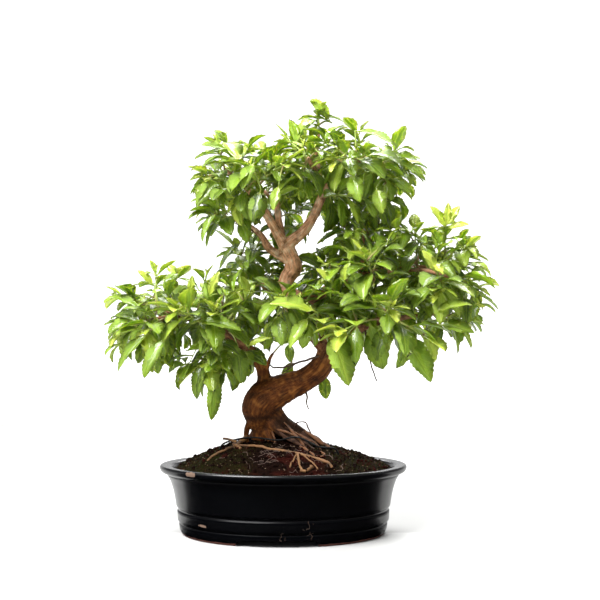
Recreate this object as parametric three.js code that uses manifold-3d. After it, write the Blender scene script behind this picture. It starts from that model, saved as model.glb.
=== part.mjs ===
// Golden dewdrop bonsai in an oval glazed pot. Millimetres, +Z up, and the front faces -Y.
// It is modelled about the middle of its pot, on the surface that the pot stands on.
import * as THREE from "three";
import { mergeVertices } from "three/addons/utils/BufferGeometryUtils.js";
import Module from "manifold-3d";

const wasm = await Module();
wasm.setup();

// Driving dimensions
const POT_LENGTH = 280;
const POT_WIDTH = 212;
const POT_HEIGHT = 77;
const POT_SEGMENTS = 28;
const FOOT_RECESS = 8;
const FLOOR_TOP = 15;
const NOTCH_WIDTH = 94;
const NOTCH_HEIGHT = 7;
const DRAIN_RADIUS = 9;
const DRAIN_OFFSET = 55;
const SOIL_AT_RIM = 72;
const MOUND_HEIGHT = 32;
const MOUND_CENTRE = { x: -15, y: 5 };
const SEAT_GAP = 0.3;
const LEAF_THICKNESS = 1.4;
const LEAF_WIDTH_SHARE = 0.26;
const STEM_RADIUS = 1.35;

const vec = (x, y, z) => new THREE.Vector3(x, y, z);

// Colours from the photograph, as materials
const FINISH = {
  glaze: new THREE.MeshStandardMaterial({ color: 0x10131f, roughness: 0.18, metalness: 0 }),
  soil: new THREE.MeshStandardMaterial({ color: 0x2c1a12, roughness: 0.95, metalness: 0 }),
  bark: new THREE.MeshStandardMaterial({ color: 0x8a6040, roughness: 0.85, metalness: 0 }),
  leaf: new THREE.MeshStandardMaterial({ color: 0x5f9a1c, roughness: 0.45, metalness: 0 }),
  wire: new THREE.MeshStandardMaterial({ color: 0x111111, roughness: 0.5, metalness: 0 }),
  screen: new THREE.MeshStandardMaterial({ color: 0x1c1c1c, roughness: 0.6, metalness: 0 }),
};

// A closed geometry as a solid that can be joined and cut
function solidOf(geometry) {
  const bare = geometry.index ? geometry.toNonIndexed() : geometry.clone();
  bare.deleteAttribute("normal");
  bare.deleteAttribute("uv");
  const merged = mergeVertices(bare, 1e-4);
  return new wasm.Manifold(
    new wasm.Mesh({
      numProp: 3,
      vertProperties: merged.attributes.position.array,
      triVerts: new Uint32Array(merged.index.array),
    }),
  );
}

// A solid as a named mesh
function meshOf(name, solid, material) {
  const made = solid.getMesh();
  const geometry = new THREE.BufferGeometry();
  geometry.setAttribute("position", new THREE.BufferAttribute(new Float32Array(made.vertProperties), 3));
  geometry.setIndex(new THREE.BufferAttribute(new Uint32Array(made.triVerts), 1));
  geometry.computeVertexNormals();
  const mesh = new THREE.Mesh(geometry, material);
  mesh.name = name;
  return mesh;
}

// A repeatable draw between 0 and 1 for each row of whole numbers
function draw(...keys) {
  let mixed = 2166136261;
  for (const key of keys) {
    mixed = Math.imul(mixed ^ (key + 101), 16777619);
    mixed = Math.imul(mixed ^ (mixed >>> 13), 1540483477);
    mixed ^= mixed >>> 15;
  }
  return (mixed >>> 0) / 4294967296;
}

// Pot: one turned profile, stretched to an oval
const potDepthShare = POT_WIDTH / POT_LENGTH;
const potOutside = [
  [105, 0],
  [117.5, 0],
  [118.3, 12],
  [120.6, 14],
  [120.6, 25],
  [119, 26.5],
  [121.6, 28.5],
  [124, 48],
  [130, 63],
  [139, POT_HEIGHT - 7],
  [POT_LENGTH / 2, POT_HEIGHT - 2.5],
  [POT_LENGTH / 2 - 2, POT_HEIGHT],
];
const potInside = [
  [126, POT_HEIGHT - 1.5],
  [123, POT_HEIGHT - 8],
  [114, 40],
  [106, FLOOR_TOP],
  [0, FLOOR_TOP],
];
const potUnderside = [
  [0, FOOT_RECESS],
  [104, FOOT_RECESS],
];

// A profile of [radius, height] pairs turned about Z and stretched to the pot's oval
function ovalSolid(profile, segments, depthShare) {
  const points = profile.map(([radius, height]) => new THREE.Vector2(radius, height));
  const turned = new THREE.LatheGeometry(points, segments);
  turned.rotateX(Math.PI / 2);
  turned.scale(1, depthShare, 1);
  return solidOf(turned);
}

function makePot() {
  const profile = [...potOutside, ...potInside, ...potUnderside, potOutside[0]];
  let pot = ovalSolid(profile, POT_SEGMENTS, potDepthShare);
  for (const side of [-1, 1]) {
    const drain = new THREE.CylinderGeometry(DRAIN_RADIUS, DRAIN_RADIUS, 20, 16);
    drain.rotateX(Math.PI / 2);
    drain.translate(side * DRAIN_OFFSET, 0, FLOOR_TOP - 3);
    pot = pot.subtract(solidOf(drain));
    const half = NOTCH_WIDTH / 2;
    const notch = new THREE.Shape();
    notch.moveTo(-half, -1);
    notch.lineTo(half, -1);
    notch.lineTo(half - NOTCH_HEIGHT, NOTCH_HEIGHT);
    notch.lineTo(-half + NOTCH_HEIGHT, NOTCH_HEIGHT);
    const cut = new THREE.ExtrudeGeometry(notch, { depth: 50, bevelEnabled: false });
    cut.rotateX(Math.PI / 2);
    cut.translate(-5, side * (POT_WIDTH / 2 - 10) + 25, 0);
    pot = pot.subtract(solidOf(cut));
  }
  return pot;
}

// Drain screens: squares of plastic mesh that lie on the pot's floor over its two drain holes
const SCREEN_SIZE = 30;
const SCREEN_THICKNESS = 1.2;
const SCREEN_HOLES = 2;

function makeScreen(side) {
  let screen = solidOf(new THREE.BoxGeometry(SCREEN_SIZE, SCREEN_SIZE, SCREEN_THICKNESS));
  const pitch = SCREEN_SIZE / (SCREEN_HOLES + 0.5);
  for (let column = 0; column < SCREEN_HOLES; column++) {
    for (let row = 0; row < SCREEN_HOLES; row++) {
      const hole = new THREE.BoxGeometry(pitch * 0.68, pitch * 0.68, SCREEN_THICKNESS * 3);
      hole.translate((column - (SCREEN_HOLES - 1) / 2) * pitch, (row - (SCREEN_HOLES - 1) / 2) * pitch, 0);
      screen = screen.subtract(solidOf(hole));
    }
  }
  return screen.translate([side * DRAIN_OFFSET, 0, FLOOR_TOP + SEAT_GAP + SCREEN_THICKNESS / 2]);
}

// Soil: fills the pot to just under its lip and rises to a mound round the trunk
function moundHeight(x, y) {
  const halfLength = 123;
  const halfWidth = halfLength * potDepthShare;
  let share = 0;
  for (let step = 0; step < 12; step++) {
    const left = (x - MOUND_CENTRE.x * (1 - share)) / halfLength;
    const front = (y - MOUND_CENTRE.y * (1 - share)) / halfWidth;
    share = Math.min(1, Math.hypot(left, front));
  }
  return SOIL_AT_RIM + MOUND_HEIGHT * (1 - share * share);
}

const SOIL_RINGS = [0.72, 0.38];

function makeSoil(sunkWood, screens) {
  const gap = SEAT_GAP + 0.1;
  const [, [topRadius, topHeight], [wallRadius, wallHeight], [floorRadius]] = potInside;
  const edge = topRadius - gap;
  const crown = SOIL_RINGS.map((share) => [edge * share, SOIL_AT_RIM + MOUND_HEIGHT * (1 - share * share)]);
  const profile = [
    [0, FLOOR_TOP + gap],
    [floorRadius - gap, FLOOR_TOP + gap],
    [wallRadius - gap, wallHeight],
    [edge, topHeight],
    [edge + 0.6, SOIL_AT_RIM],
    ...crown,
    [0, SOIL_AT_RIM + MOUND_HEIGHT],
  ];
  const points = profile.map(([radius, height]) => new THREE.Vector2(radius, height));
  const turned = new THREE.LatheGeometry(points, POT_SEGMENTS);
  turned.rotateX(Math.PI / 2);
  turned.scale(1, potDepthShare - 0.0015, 1);
  const place = turned.attributes.position;
  for (let i = 0; i < place.count; i++) {
    if (place.getZ(i) > SOIL_AT_RIM + 1) {
      const share = Math.sqrt(Math.max(0, 1 - (place.getZ(i) - SOIL_AT_RIM) / MOUND_HEIGHT));
      place.setX(i, place.getX(i) + MOUND_CENTRE.x * (1 - share));
      place.setY(i, place.getY(i) + MOUND_CENTRE.y * (1 - share));
    }
  }
  let soil = solidOf(turned).subtract(sunkWood);
  for (const side of screens) {
    const size = SCREEN_SIZE + 2 * SEAT_GAP;
    const pocket = new THREE.BoxGeometry(size, size, 2 * (SCREEN_THICKNESS + SEAT_GAP * 2));
    pocket.translate(side * DRAIN_OFFSET, 0, FLOOR_TOP + gap);
    soil = soil.subtract(solidOf(pocket));
  }
  return soil;
}

// Wood: each limb is a smooth line through points, with a radius at each point.
// The points are [left to right, front to back, height, radius].
const TRUNK = [
  [-25, 4, 74, 19],
  [-27, 3, 98, 16.5],
  [-28, 2, 120, 14.5],
  [-28, 0, 136, 20.5],
  [-21, -2, 150, 22],
  [-2, -4, 161, 17.5],
  [22, -6, 171, 13.6],
  [41, -6, 185, 13.2],
  [51, -4, 205, 11.5],
  [50, 2, 226, 10.2],
  [37, 8, 247, 9.6],
  [20, 12, 262, 9.4],
  [4, 12, 275, 9.4],
  [4, 10, 289, 9],
  [11, 8, 301, 10.4],
  [8, 6, 315, 9.2],
  [1, 5, 328, 8],
];
const BRANCHES = {
  left_arm: [
    [-21, -2, 150, 9],
    [-24, -2, 184, 7.6],
    [-39, -2, 206, 6.4],
    [-62, -4, 221, 5.2],
    [-90, -5, 236, 4.2],
    [-120, -6, 246, 3.2],
    [-146, -6, 252, 2.4],
  ],
  left_front: [
    [-50, -3, 214, 4],
    [-66, -30, 224, 3],
    [-86, -54, 232, 2.2],
  ],
  left_back: [
    [-62, -4, 221, 4],
    [-76, 28, 234, 3],
    [-97, 52, 246, 2.2],
  ],
  left_outer_front: [
    [-98, -5, 239, 3.2],
    [-120, -28, 243, 2.6],
    [-138, -44, 241, 2],
  ],
  left_outer_back: [
    [-108, -6, 243, 3],
    [-128, 22, 252, 2.4],
    [-146, 34, 256, 2],
  ],
  elbow_stub: [
    [6, 12, 274, 7.5],
    [-12, 12, 279, 7],
    [-25, 13, 284, 6],
  ],
  elbow_twig: [
    [-12, 12, 279, 4],
    [-30, 32, 290, 3],
    [-44, 46, 304, 2.2],
  ],
  crown_lower_left: [
    [4, 8, 311, 6],
    [-17, 12, 324, 4.8],
    [-27, 14, 340, 4],
    [-46, 16, 354, 3],
    [-64, 12, 360, 2.2],
  ],
  crown_left: [
    [1, 5, 326, 7.4],
    [-8, 4, 342, 6],
    [-17, 2, 358, 5.2],
    [-31, 0, 380, 4.2],
    [-50, -3, 400, 3.2],
    [-68, -5, 414, 2.2],
  ],
  crown_middle: [
    [-2, 6, 328, 6],
    [-4, 10, 346, 4.6],
    [-7, 13, 366, 4],
    [-8, 16, 392, 3.2],
    [-4, 20, 420, 2.2],
  ],
  crown_right: [
    [1, 5, 325, 7.8],
    [12, 2, 334, 7],
    [24, 0, 344, 6.4],
    [36, -2, 363, 5.6],
    [45, -3, 385, 5],
    [55, -2, 403, 4.2],
    [74, 0, 420, 3.2],
    [98, 2, 430, 2.2],
  ],
  crown_apex: [
    [45, -3, 385, 4.6],
    [40, -4, 412, 3.6],
    [38, -3, 438, 2.8],
    [41, 0, 458, 2],
  ],
  crown_front_left: [
    [-27, 0, 374, 3.6],
    [-28, -28, 390, 2.8],
    [-32, -50, 398, 2],
  ],
  crown_front_right: [
    [42, -4, 404, 3.6],
    [32, -32, 414, 2.8],
    [28, -54, 418, 2],
  ],
  crown_back_left: [
    [-7, 14, 375, 3.4],
    [-20, 38, 392, 2.6],
    [-26, 58, 402, 2],
  ],
  crown_back_right: [
    [55, -2, 403, 3.6],
    [60, 30, 418, 2.8],
    [68, 54, 424, 2],
  ],
  crown_right_front: [
    [74, 0, 420, 3],
    [86, -28, 420, 2.4],
    [96, -44, 414, 2],
  ],
  right_arm: [
    [22, 12, 260, 7],
    [36, 9, 266, 6],
    [60, 2, 282, 5.2],
    [92, -2, 291, 4.6],
    [126, -4, 297, 3.8],
    [160, -5, 301, 3],
    [186, -5, 300, 2.2],
  ],
  right_riser: [
    [90, -2, 290, 3.4],
    [91, 2, 320, 2.8],
    [92, 4, 346, 2.2],
  ],
  right_back: [
    [98, -3, 292, 3.8],
    [118, 32, 304, 3],
    [140, 58, 312, 2.2],
  ],
  right_front: [
    [72, 0, 285, 3.6],
    [86, -34, 286, 2.8],
    [100, -60, 282, 2.2],
  ],
  right_outer_back: [
    [138, -4, 299, 3.2],
    [158, 26, 314, 2.6],
    [174, 42, 326, 2],
  ],
  right_outer_front: [
    [142, -4, 299, 3.2],
    [162, -34, 294, 2.6],
    [182, -50, 286, 2],
  ],
  low_arm: [
    [51, -4, 206, 7],
    [76, -15, 224, 5],
    [106, -24, 237, 4],
    [140, -30, 243, 3],
    [168, -30, 246, 2.2],
  ],
  low_front: [
    [92, -20, 231, 3.4],
    [104, -50, 240, 2.6],
    [112, -74, 242, 2],
  ],
  low_back: [
    [76, -15, 224, 4],
    [96, 20, 238, 3],
    [116, 46, 248, 2.2],
  ],
  middle_front: [
    [50, -5, 200, 5],
    [29, -14, 223, 3.8],
    [12, -28, 242, 3],
    [4, -44, 256, 2.2],
  ],
  cut_twig: [
    [-20, -4, 182, 3],
    [-15, -9, 197, 2.2],
    [-11, -11, 203, 2],
  ],
};

// Roots leave the foot of the trunk, run down over the mound and dive into it
const ROOTS = {
  buttress: [
    [-12, 0, 138, 13],
    [3, 3, 119, 11],
    [20, 5, 107, 9],
    [38, 6, 98, 7],
    [54, 8, 86, 5],
  ],
  buttress_front: [
    [-16, -7, 126, 10],
    [0, -13, 112, 7],
    [16, -19, 103, 5],
    [32, -25, 95, 4],
    [46, -29, 84, 3],
  ],
  buttress_back: [
    [-12, 8, 124, 9],
    [4, 20, 108, 7],
    [18, 31, 96, 5],
    [32, 44, 82, 4],
  ],
  left_prop: [
    [-38, 0, 124, 4.5],
    [-46, -4, 112, 3.6],
    [-47, -6, 94, 3.6],
  ],
  back_left: [
    [-34, 10, 112, 8],
    [-50, 26, 100, 6],
    [-66, 40, 84, 4],
  ],
  front_foot: [
    [-24, -6, 114, 9],
    [-18, -17, 103, 6.5],
    [-13, -28, 92, 4],
  ],
};

const across = (row) => vec(row[0], row[1], row[2]);
const lineOf = (rows) => new THREE.CatmullRomCurve3(rows.map(across), false, "catmullrom", 0.5);

function radiusAt(rows, share) {
  const place = share * (rows.length - 1);
  const before = Math.min(rows.length - 2, Math.floor(place));
  return THREE.MathUtils.lerp(rows[before][3], rows[before + 1][3], place - before);
}

// A cylinder bent onto a limb's line, with the limb's radius all along it
function limbSolid(rows, sides, steps, swell = 0) {
  const line = lineOf(rows);
  const frames = line.computeFrenetFrames(steps, false);
  const tube = new THREE.CylinderGeometry(1, 1, 1, sides, steps);
  const place = tube.attributes.position;
  for (let i = 0; i < place.count; i++) {
    const share = 0.5 - place.getY(i);
    const ring = Math.round(share * steps);
    const radius = radiusAt(rows, share) + swell;
    const centre = line.getPoint(share);
    centre.addScaledVector(frames.normals[ring], place.getX(i) * radius);
    centre.addScaledVector(frames.binormals[ring], place.getZ(i) * radius);
    place.setXYZ(i, centre.x, centre.y, centre.z);
  }
  const solid = solidOf(tube);
  if (solid.volume() <= 0) throw new Error("a limb is inside out");
  return solid;
}

// A surface root that lies on the mound from one [x, y] to the next, with its last end sunk in
function surfaceRoot(path, radius, first) {
  const rows = path.map(([x, y]) => [x, y, moundHeight(x, y) + radius + SEAT_GAP + 0.4, radius]);
  if (first) rows.unshift(first);
  const last = rows[rows.length - 1];
  const before = rows[rows.length - 2];
  last[3] = radius * 0.7;
  rows.push([2 * last[0] - before[0], 2 * last[1] - before[1], last[2] - 22, radius * 0.6]);
  return rows;
}

const LONG_ROOT = surfaceRoot(
  [
    [-54, -26],
    [-36, -44],
    [-6, -50],
    [20, -52],
    [44, -58],
  ],
  2.4,
  [-40, -2, 110, 2.8],
);
const LEFT_ROOT = surfaceRoot(
  [
    [-58, -24],
    [-76, -36],
  ],
  2,
  [-40, -4, 109, 2.4],
);

function makeWood(swell) {
  let wood = limbSolid(TRUNK, 8, 20, swell);
  for (const rows of Object.values(ROOTS)) {
    wood = wood.add(limbSolid(rows, 5, rows.length - 1, swell));
  }
  wood = wood.add(limbSolid(LONG_ROOT, 4, 9, swell));
  wood = wood.add(limbSolid(LEFT_ROOT, 4, 4, swell));
  return wood;
}

function makeTrunk() {
  let trunk = makeWood(0);
  for (const rows of Object.values(BRANCHES)) {
    const sides = rows[0][3] > 5 ? 5 : 4;
    trunk = trunk.add(limbSolid(rows, sides, rows.length - 1));
  }
  return trunk;
}

// Places along each branch from which a shoot can grow
const SEATS = 41;
const SEAT_SPACING = 10;
const seats = {};
for (const [name, rows] of Object.entries(BRANCHES)) {
  const line = lineOf(rows);
  seats[name] = Array.from({ length: SEATS }, (_, i) => {
    const share = i / (SEATS - 1);
    return { share, centre: line.getPoint(share), radius: radiusAt(rows, share) };
  });
}

// Leafy shoots: each has a tip, and grows from the nearest branch of its own pad.
// The rows are [tip left to right, front to back, height, nodes, leaf length].
const PADS = {
  left: {
    limbs: ["left_arm", "left_front", "left_back", "left_outer_front", "left_outer_back"],
    shoots: [
      [-148, 6, 294, 3, 36],
      [-184, -12, 266, 3, 42],
      [-178, -34, 226, 3, 44],
      [-146, -72, 226, 3, 46],
      [-126, 14, 290, 3, 38],
      [-88, -20, 286, 3, 38],
      [-110, -84, 248, 3, 46],
      [-72, -80, 246, 3, 46],
      [-40, -42, 262, 3, 44],
      [-84, -46, 190, 3, 50],
      [-56, -30, 196, 3, 44],
      [-146, 58, 262, 3, 42],
      [-94, 78, 262, 3, 42],
      [-48, 40, 274, 3, 44],
    ],
  },
  crown: {
    limbs: [
      "crown_lower_left",
      "crown_left",
      "crown_middle",
      "crown_right",
      "crown_apex",
      "crown_front_left",
      "crown_front_right",
      "crown_back_left",
      "crown_back_right",
      "crown_right_front",
    ],
    shoots: [
      [-76, -6, 442, 3, 36],
      [-86, -36, 400, 3, 42],
      [-80, 2, 362, 3, 46],
      [-36, 16, 440, 3, 38],
      [-34, -64, 404, 3, 44],
      [-52, -48, 372, 3, 42],
      [18, -52, 382, 3, 42],
      [6, -20, 444, 3, 38],
      [4, -84, 404, 3, 44],
      [40, -2, 484, 3, 32],
      [20, 40, 450, 3, 40],
      [86, 4, 458, 3, 38],
      [130, 0, 426, 3, 42],
      [118, -38, 392, 3, 44],
      [56, -80, 410, 3, 42],
      [72, -46, 376, 3, 42],
      [-24, 82, 394, 3, 44],
      [58, 80, 412, 3, 44],
      [106, 48, 396, 3, 42],
    ],
  },
  middle: {
    limbs: ["elbow_twig", "crown_lower_left", "middle_front"],
    shoots: [
      [-56, 26, 326, 3, 42],
      [2, -70, 262, 3, 42],
      [40, -64, 236, 3, 46],
    ],
  },
  right: {
    limbs: [
      "right_arm",
      "right_riser",
      "right_back",
      "right_front",
      "right_outer_back",
      "right_outer_front",
      "low_arm",
      "low_front",
      "low_back",
    ],
    shoots: [
      [66, 16, 346, 3, 42],
      [112, 20, 352, 3, 42],
      [150, -12, 340, 3, 42],
      [186, 0, 352, 3, 38],
      [208, -18, 318, 3, 42],
      [222, -12, 276, 3, 44],
      [196, 50, 300, 3, 42],
      [170, -78, 270, 3, 46],
      [150, -80, 220, 3, 54],
      [114, -98, 250, 3, 48],
      [64, -88, 226, 3, 54],
      [90, -66, 304, 3, 46],
      [48, -52, 300, 3, 42],
      [132, 78, 298, 3, 44],
      [72, 56, 290, 3, 44],
      [150, 44, 256, 3, 44],
      [194, -34, 238, 3, 46],
    ],
  },
};

// Places where the photograph shows bare trunk, so no leaf hangs before it: [low corner, high corner]
const BARE_WINDOWS = [
  [vec(-24, -200, 284), vec(40, 8, 366)],
  [vec(-34, -200, 100), vec(46, 0, 188)],
];

// Where a shoot's stem starts and how it runs to its tip
function stemLine(pad, row, number, wood) {
  const tip = vec(row[0], row[1], row[2]);
  const aim = tip.clone().add(vec(0, 0, -12));
  let seat = null;
  let nearest = Infinity;
  for (const name of pad.limbs) {
    for (const place of seats[name]) {
      if (place.share < 0.3 || place.taken) continue;
      const far = place.centre.distanceTo(aim) + 12 * (1 - place.share);
      if (far < nearest) {
        nearest = far;
        seat = place;
      }
    }
  }
  for (const place of pad.limbs.flatMap((name) => seats[name])) {
    if (place.centre.distanceTo(seat.centre) < SEAT_SPACING) place.taken = true;
  }
  const away = tip.clone().sub(seat.centre).normalize();
  const lineFrom = (out) => {
    const start = seat.centre.clone().addScaledVector(away, out);
    const middle = start.clone().lerp(tip, 0.5).add(vec(0, 0, start.distanceTo(tip) * 0.1));
    return new THREE.QuadraticBezierCurve3(start, middle, tip);
  };
  const isClear = (out) => stemSolid({ row, number, line: lineFrom(out) }, SEAT_GAP).intersect(wood).isEmpty();
  let far = 2;
  while (!isClear(far)) far += 2;
  let near = far - 2;
  while (far - near > 0.04) {
    const out = (near + far) / 2;
    if (isClear(out)) far = out;
    else near = out;
  }
  return lineFrom(far + SEAT_GAP);
}

const stemRadius = (share) => STEM_RADIUS * (1 - 0.45 * share);

// A shoot's stem with no leaves on it
const stemSolid = (shoot, swell) => solidOf(shootGeometry({ ...shoot, leaves: [] }, swell));

// Two directions square to a shoot's stem, towards the two pairs of faces that its leaves grow from
function stemFrame(line, share, turn) {
  const forward = line.getTangent(share);
  const level = forward.clone().cross(vec(0, 0, 1));
  if (level.lengthSq() < 1e-4) level.set(1, 0, 0);
  level.normalize();
  const raised = level.clone().cross(forward).normalize();
  const first = level.clone().multiplyScalar(Math.cos(turn)).addScaledVector(raised, Math.sin(turn));
  const second = raised.clone().multiplyScalar(Math.cos(turn)).addScaledVector(level, -Math.sin(turn));
  return { forward, outward: [first, second, first.clone().negate(), second.clone().negate()] };
}

// One leaf's place, set and shape, by its shoot, node, the stem's face there, and attempt
const nodeShare = (node, nodes) => 0.25 + 0.69 * (node / (nodes - 1));
const shootTurn = (number) => draw(number, 7) * Math.PI * 0.5;

function leafAt(shoot, node, side, attempt) {
  const nodes = shoot.row[3];
  const crossing = side % 2 === node % 2 ? 0 : 0.5;
  const age = Math.max(0, 1 - (node + crossing) / (nodes - 0.5));
  const { forward, outward } = stemFrame(shoot.line, nodeShare(node, nodes), shootTurn(shoot.number));
  const face = outward[side];
  const wander = (n) => draw(shoot.number, node, side, attempt, n) - 0.5;
  const spread = THREE.MathUtils.lerp(0.55, 1.3, age) + wander(1) * 0.3;
  const sideways = forward.clone().cross(face).multiplyScalar(wander(2) * (0.6 + 0.5 * attempt));
  const heading = forward.clone().multiplyScalar(Math.cos(spread));
  heading.addScaledVector(face, Math.sin(spread)).add(sideways);
  heading.z = heading.z * 0.75 - THREE.MathUtils.lerp(-0.1, 0.24, age) - wander(3) * 0.5;
  heading.normalize();
  const up = vec(0, 0, 1).addScaledVector(forward, 0.45).addScaledVector(face, 0.25);
  up.addScaledVector(heading, -up.dot(heading)).normalize();
  const length = shoot.row[4] * THREE.MathUtils.lerp(0.55, 1.06, Math.sqrt(age)) * (1 + wander(4) * 0.26);
  return {
    root: shoot.line.getPoint(nodeShare(node, nodes)),
    heading,
    up,
    across: heading.clone().cross(up),
    length: length * (1 - 0.05 * attempt),
    halfWidth: length * LEAF_WIDTH_SHARE * (1 + wander(5) * 0.2),
    bend: THREE.MathUtils.lerp(0.3, 0.95, age) + wander(6) * 0.6,
    twist: wander(8) * 0.7,
    fold: 0.3 + wander(9) * 0.2,
  };
}

// A point on a blade: along from 0 at the stalk to 1 at the tip, side in millimetres from the midrib
function bladePoint(leaf, along, side, lift) {
  const bent = leaf.bend * along;
  const normal = leaf.up.clone().multiplyScalar(Math.cos(bent)).addScaledVector(leaf.heading, Math.sin(bent));
  const twist = leaf.twist * along;
  const out = leaf.across.clone().multiplyScalar(Math.cos(twist)).addScaledVector(normal, Math.sin(twist));
  const face = normal.clone().multiplyScalar(Math.cos(twist)).addScaledVector(leaf.across, -Math.sin(twist));
  const spot = leaf.root.clone();
  spot.addScaledVector(leaf.heading, (leaf.length * Math.sin(bent)) / leaf.bend);
  spot.addScaledVector(leaf.up, (-leaf.length * (1 - Math.cos(bent))) / leaf.bend);
  spot.addScaledVector(out, side * Math.cos(leaf.fold));
  spot.addScaledVector(face, Math.abs(side) * Math.sin(leaf.fold) + lift);
  return spot;
}

// The toothed outline of half a blade, as [share of the length, share of the half width]
const HALF_OUTLINE = [
  [0.3, 0.7],
  [0.58, 1],
  [0.68, 0.78],
  [0.78, 0.78],
];

// A blade is thickest along its midrib and sharp at its toothed edge. It grows from four corners of its
// stem's face, in order right and above, left and above, left and below, right and below.
function bladeFaces(leaf, swell, corners) {
  const half = LEAF_THICKNESS / 2 + swell;
  const wide = leaf.halfWidth + swell;
  const rim = HALF_OUTLINE.map(([along, share]) => bladePoint(leaf, along, wide * share, 0));
  rim.push(bladePoint(leaf, 1, 0, 0));
  rim.push(...[...HALF_OUTLINE].reverse().map(([along, share]) => bladePoint(leaf, along, -wide * share, 0)));
  const points = [...rim, ...corners, bladePoint(leaf, 0.5, 0, half), bladePoint(leaf, 0.5, 0, -half)];
  const end = rim.length - 1;
  const [rightTop, leftTop, leftUnder, rightUnder, top, under] = [1, 2, 3, 4, 5, 6].map((n) => end + n);
  const faces = [];
  for (let i = 0; i < end; i++) faces.push([top, i, i + 1], [under, i + 1, i]);
  faces.push([top, end, leftTop], [top, leftTop, rightTop], [top, rightTop, 0]);
  faces.push([under, 0, rightUnder], [under, rightUnder, leftUnder], [under, leftUnder, end]);
  faces.push([rightTop, rightUnder, 0], [leftUnder, leftTop, end]);
  return faces.map((face) => face.map((n) => points[n]));
}

// The faces of a blade closed at its root
function closedBlade(leaf, swell, corners) {
  const faces = bladeFaces(leaf, swell, corners);
  const [a, b, c, d] = corners;
  faces.push([a, b, c], [a, c, d]);
  return solidOf(new THREE.BufferGeometry().setFromPoints(faces.flat()));
}

// A thicker leaf from a share of its length on, which shows where it would come too near to another
function swollenLeaf(leaf, from) {
  const wide = STEM_RADIUS * 0.5;
  const corners = [
    [1, 1],
    [-1, 1],
    [-1, -1],
    [1, -1],
  ].map(([right, above]) => bladePoint(leaf, from, right * wide, above * wide));
  return closedBlade(leaf, SEAT_GAP, corners);
}

// A shoot's stem has four sides, and each leaf takes the place of one face
const NODE_LENGTH = 2.6;

function stemRing(shoot, share, swell) {
  const { outward } = stemFrame(shoot.line, share, shootTurn(shoot.number));
  const centre = shoot.line.getPoint(share);
  return outward.map((one, side) => {
    const both = one.clone().add(outward[(side + 1) % 4]);
    return centre.clone().addScaledVector(both, (stemRadius(share) + swell) / Math.SQRT2);
  });
}

function nodeRings(shoot, node, swell) {
  const half = NODE_LENGTH / 2 / shoot.line.getLength();
  const share = nodeShare(node, shoot.row[3]);
  return [stemRing(shoot, share - half, swell), stemRing(shoot, share + half, swell)];
}

const faceCorners = (lower, upper, side) => {
  const before = (side + 3) % 4;
  return [lower[before], lower[side], upper[side], upper[before]];
};

function shootGeometry(shoot, swell = 0) {
  const rings = [stemRing(shoot, 0, swell)];
  for (let node = 0; node < shoot.row[3]; node++) rings.push(...nodeRings(shoot, node, swell));
  const faces = [];
  const quad = (a, b, c, d) => faces.push([a, b, c], [a, c, d]);
  quad(...rings[0]);
  quad(...[...rings[rings.length - 1]].reverse());
  for (let i = 0; i < rings.length - 1; i++) {
    for (let side = 0; side < 4; side++) {
      const corners = faceCorners(rings[i], rings[i + 1], side);
      const leaf = shoot.leaves.find((one) => 2 * one.node + 1 === i && one.side === side);
      if (leaf) faces.push(...bladeFaces(leaf, 0, cornersFor(leaf, corners)));
      else quad(...corners.reverse());
    }
  }
  return new THREE.BufferGeometry().setFromPoints(faces.flat());
}

// The corners of a stem's face, started at the one that lies nearest to the right and above
function cornersFor(leaf, corners) {
  const fit = (start) => {
    const turned = [0, 1, 2, 3].map((n) => corners[(start + n) % 4].clone().sub(leaf.root));
    const right = turned[0].clone().add(turned[3]).sub(turned[1]).sub(turned[2]);
    const above = turned[0].clone().add(turned[1]).sub(turned[2]).sub(turned[3]);
    return right.dot(leaf.across) + above.dot(leaf.up);
  };
  const start = [0, 1, 2, 3].reduce((best, one) => (fit(one) > fit(best) ? one : best), 0);
  return [0, 1, 2, 3].map((n) => corners[(start + n) % 4]);
}

// What a new leaf must stay clear of
const TOUCHING = 1e-3;
const placed = [];

function remember(solid, owner, blade = false) {
  placed.push({ solid, owner, blade, box: solid.boundingBox() });
}

function boxesMeet(a, b) {
  return [0, 1, 2].every((axis) => a.min[axis] <= b.max[axis] && b.min[axis] <= a.max[axis]);
}

// A leaf meets nothing of its own shoot but its root, and keeps a gap to everything else
function staysClear(leaf, grown, stem, owner) {
  if (Math.abs(grown.subtract(stem).volume() - grown.volume()) > TOUCHING) return false;
  const whole = swollenLeaf(leaf, 0);
  const trimmed = swollenLeaf(leaf, 0.14);
  const box = whole.boundingBox();
  return placed.every((other) => {
    if (!boxesMeet(box, other.box)) return true;
    if (other.owner !== owner) return whole.intersect(other.solid).isEmpty();
    if (other.blade && grown.intersect(other.solid).volume() > TOUCHING) return false;
    return trimmed.intersect(other.solid).isEmpty();
  });
}

const inWindow = (leaf) =>
  BARE_WINDOWS.some(([low, high]) =>
    [0.5, 0.75, 1].some((along) => new THREE.Box3(low, high).containsPoint(bladePoint(leaf, along, 0, 0))),
  );

const ATTEMPTS = 10;

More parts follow.
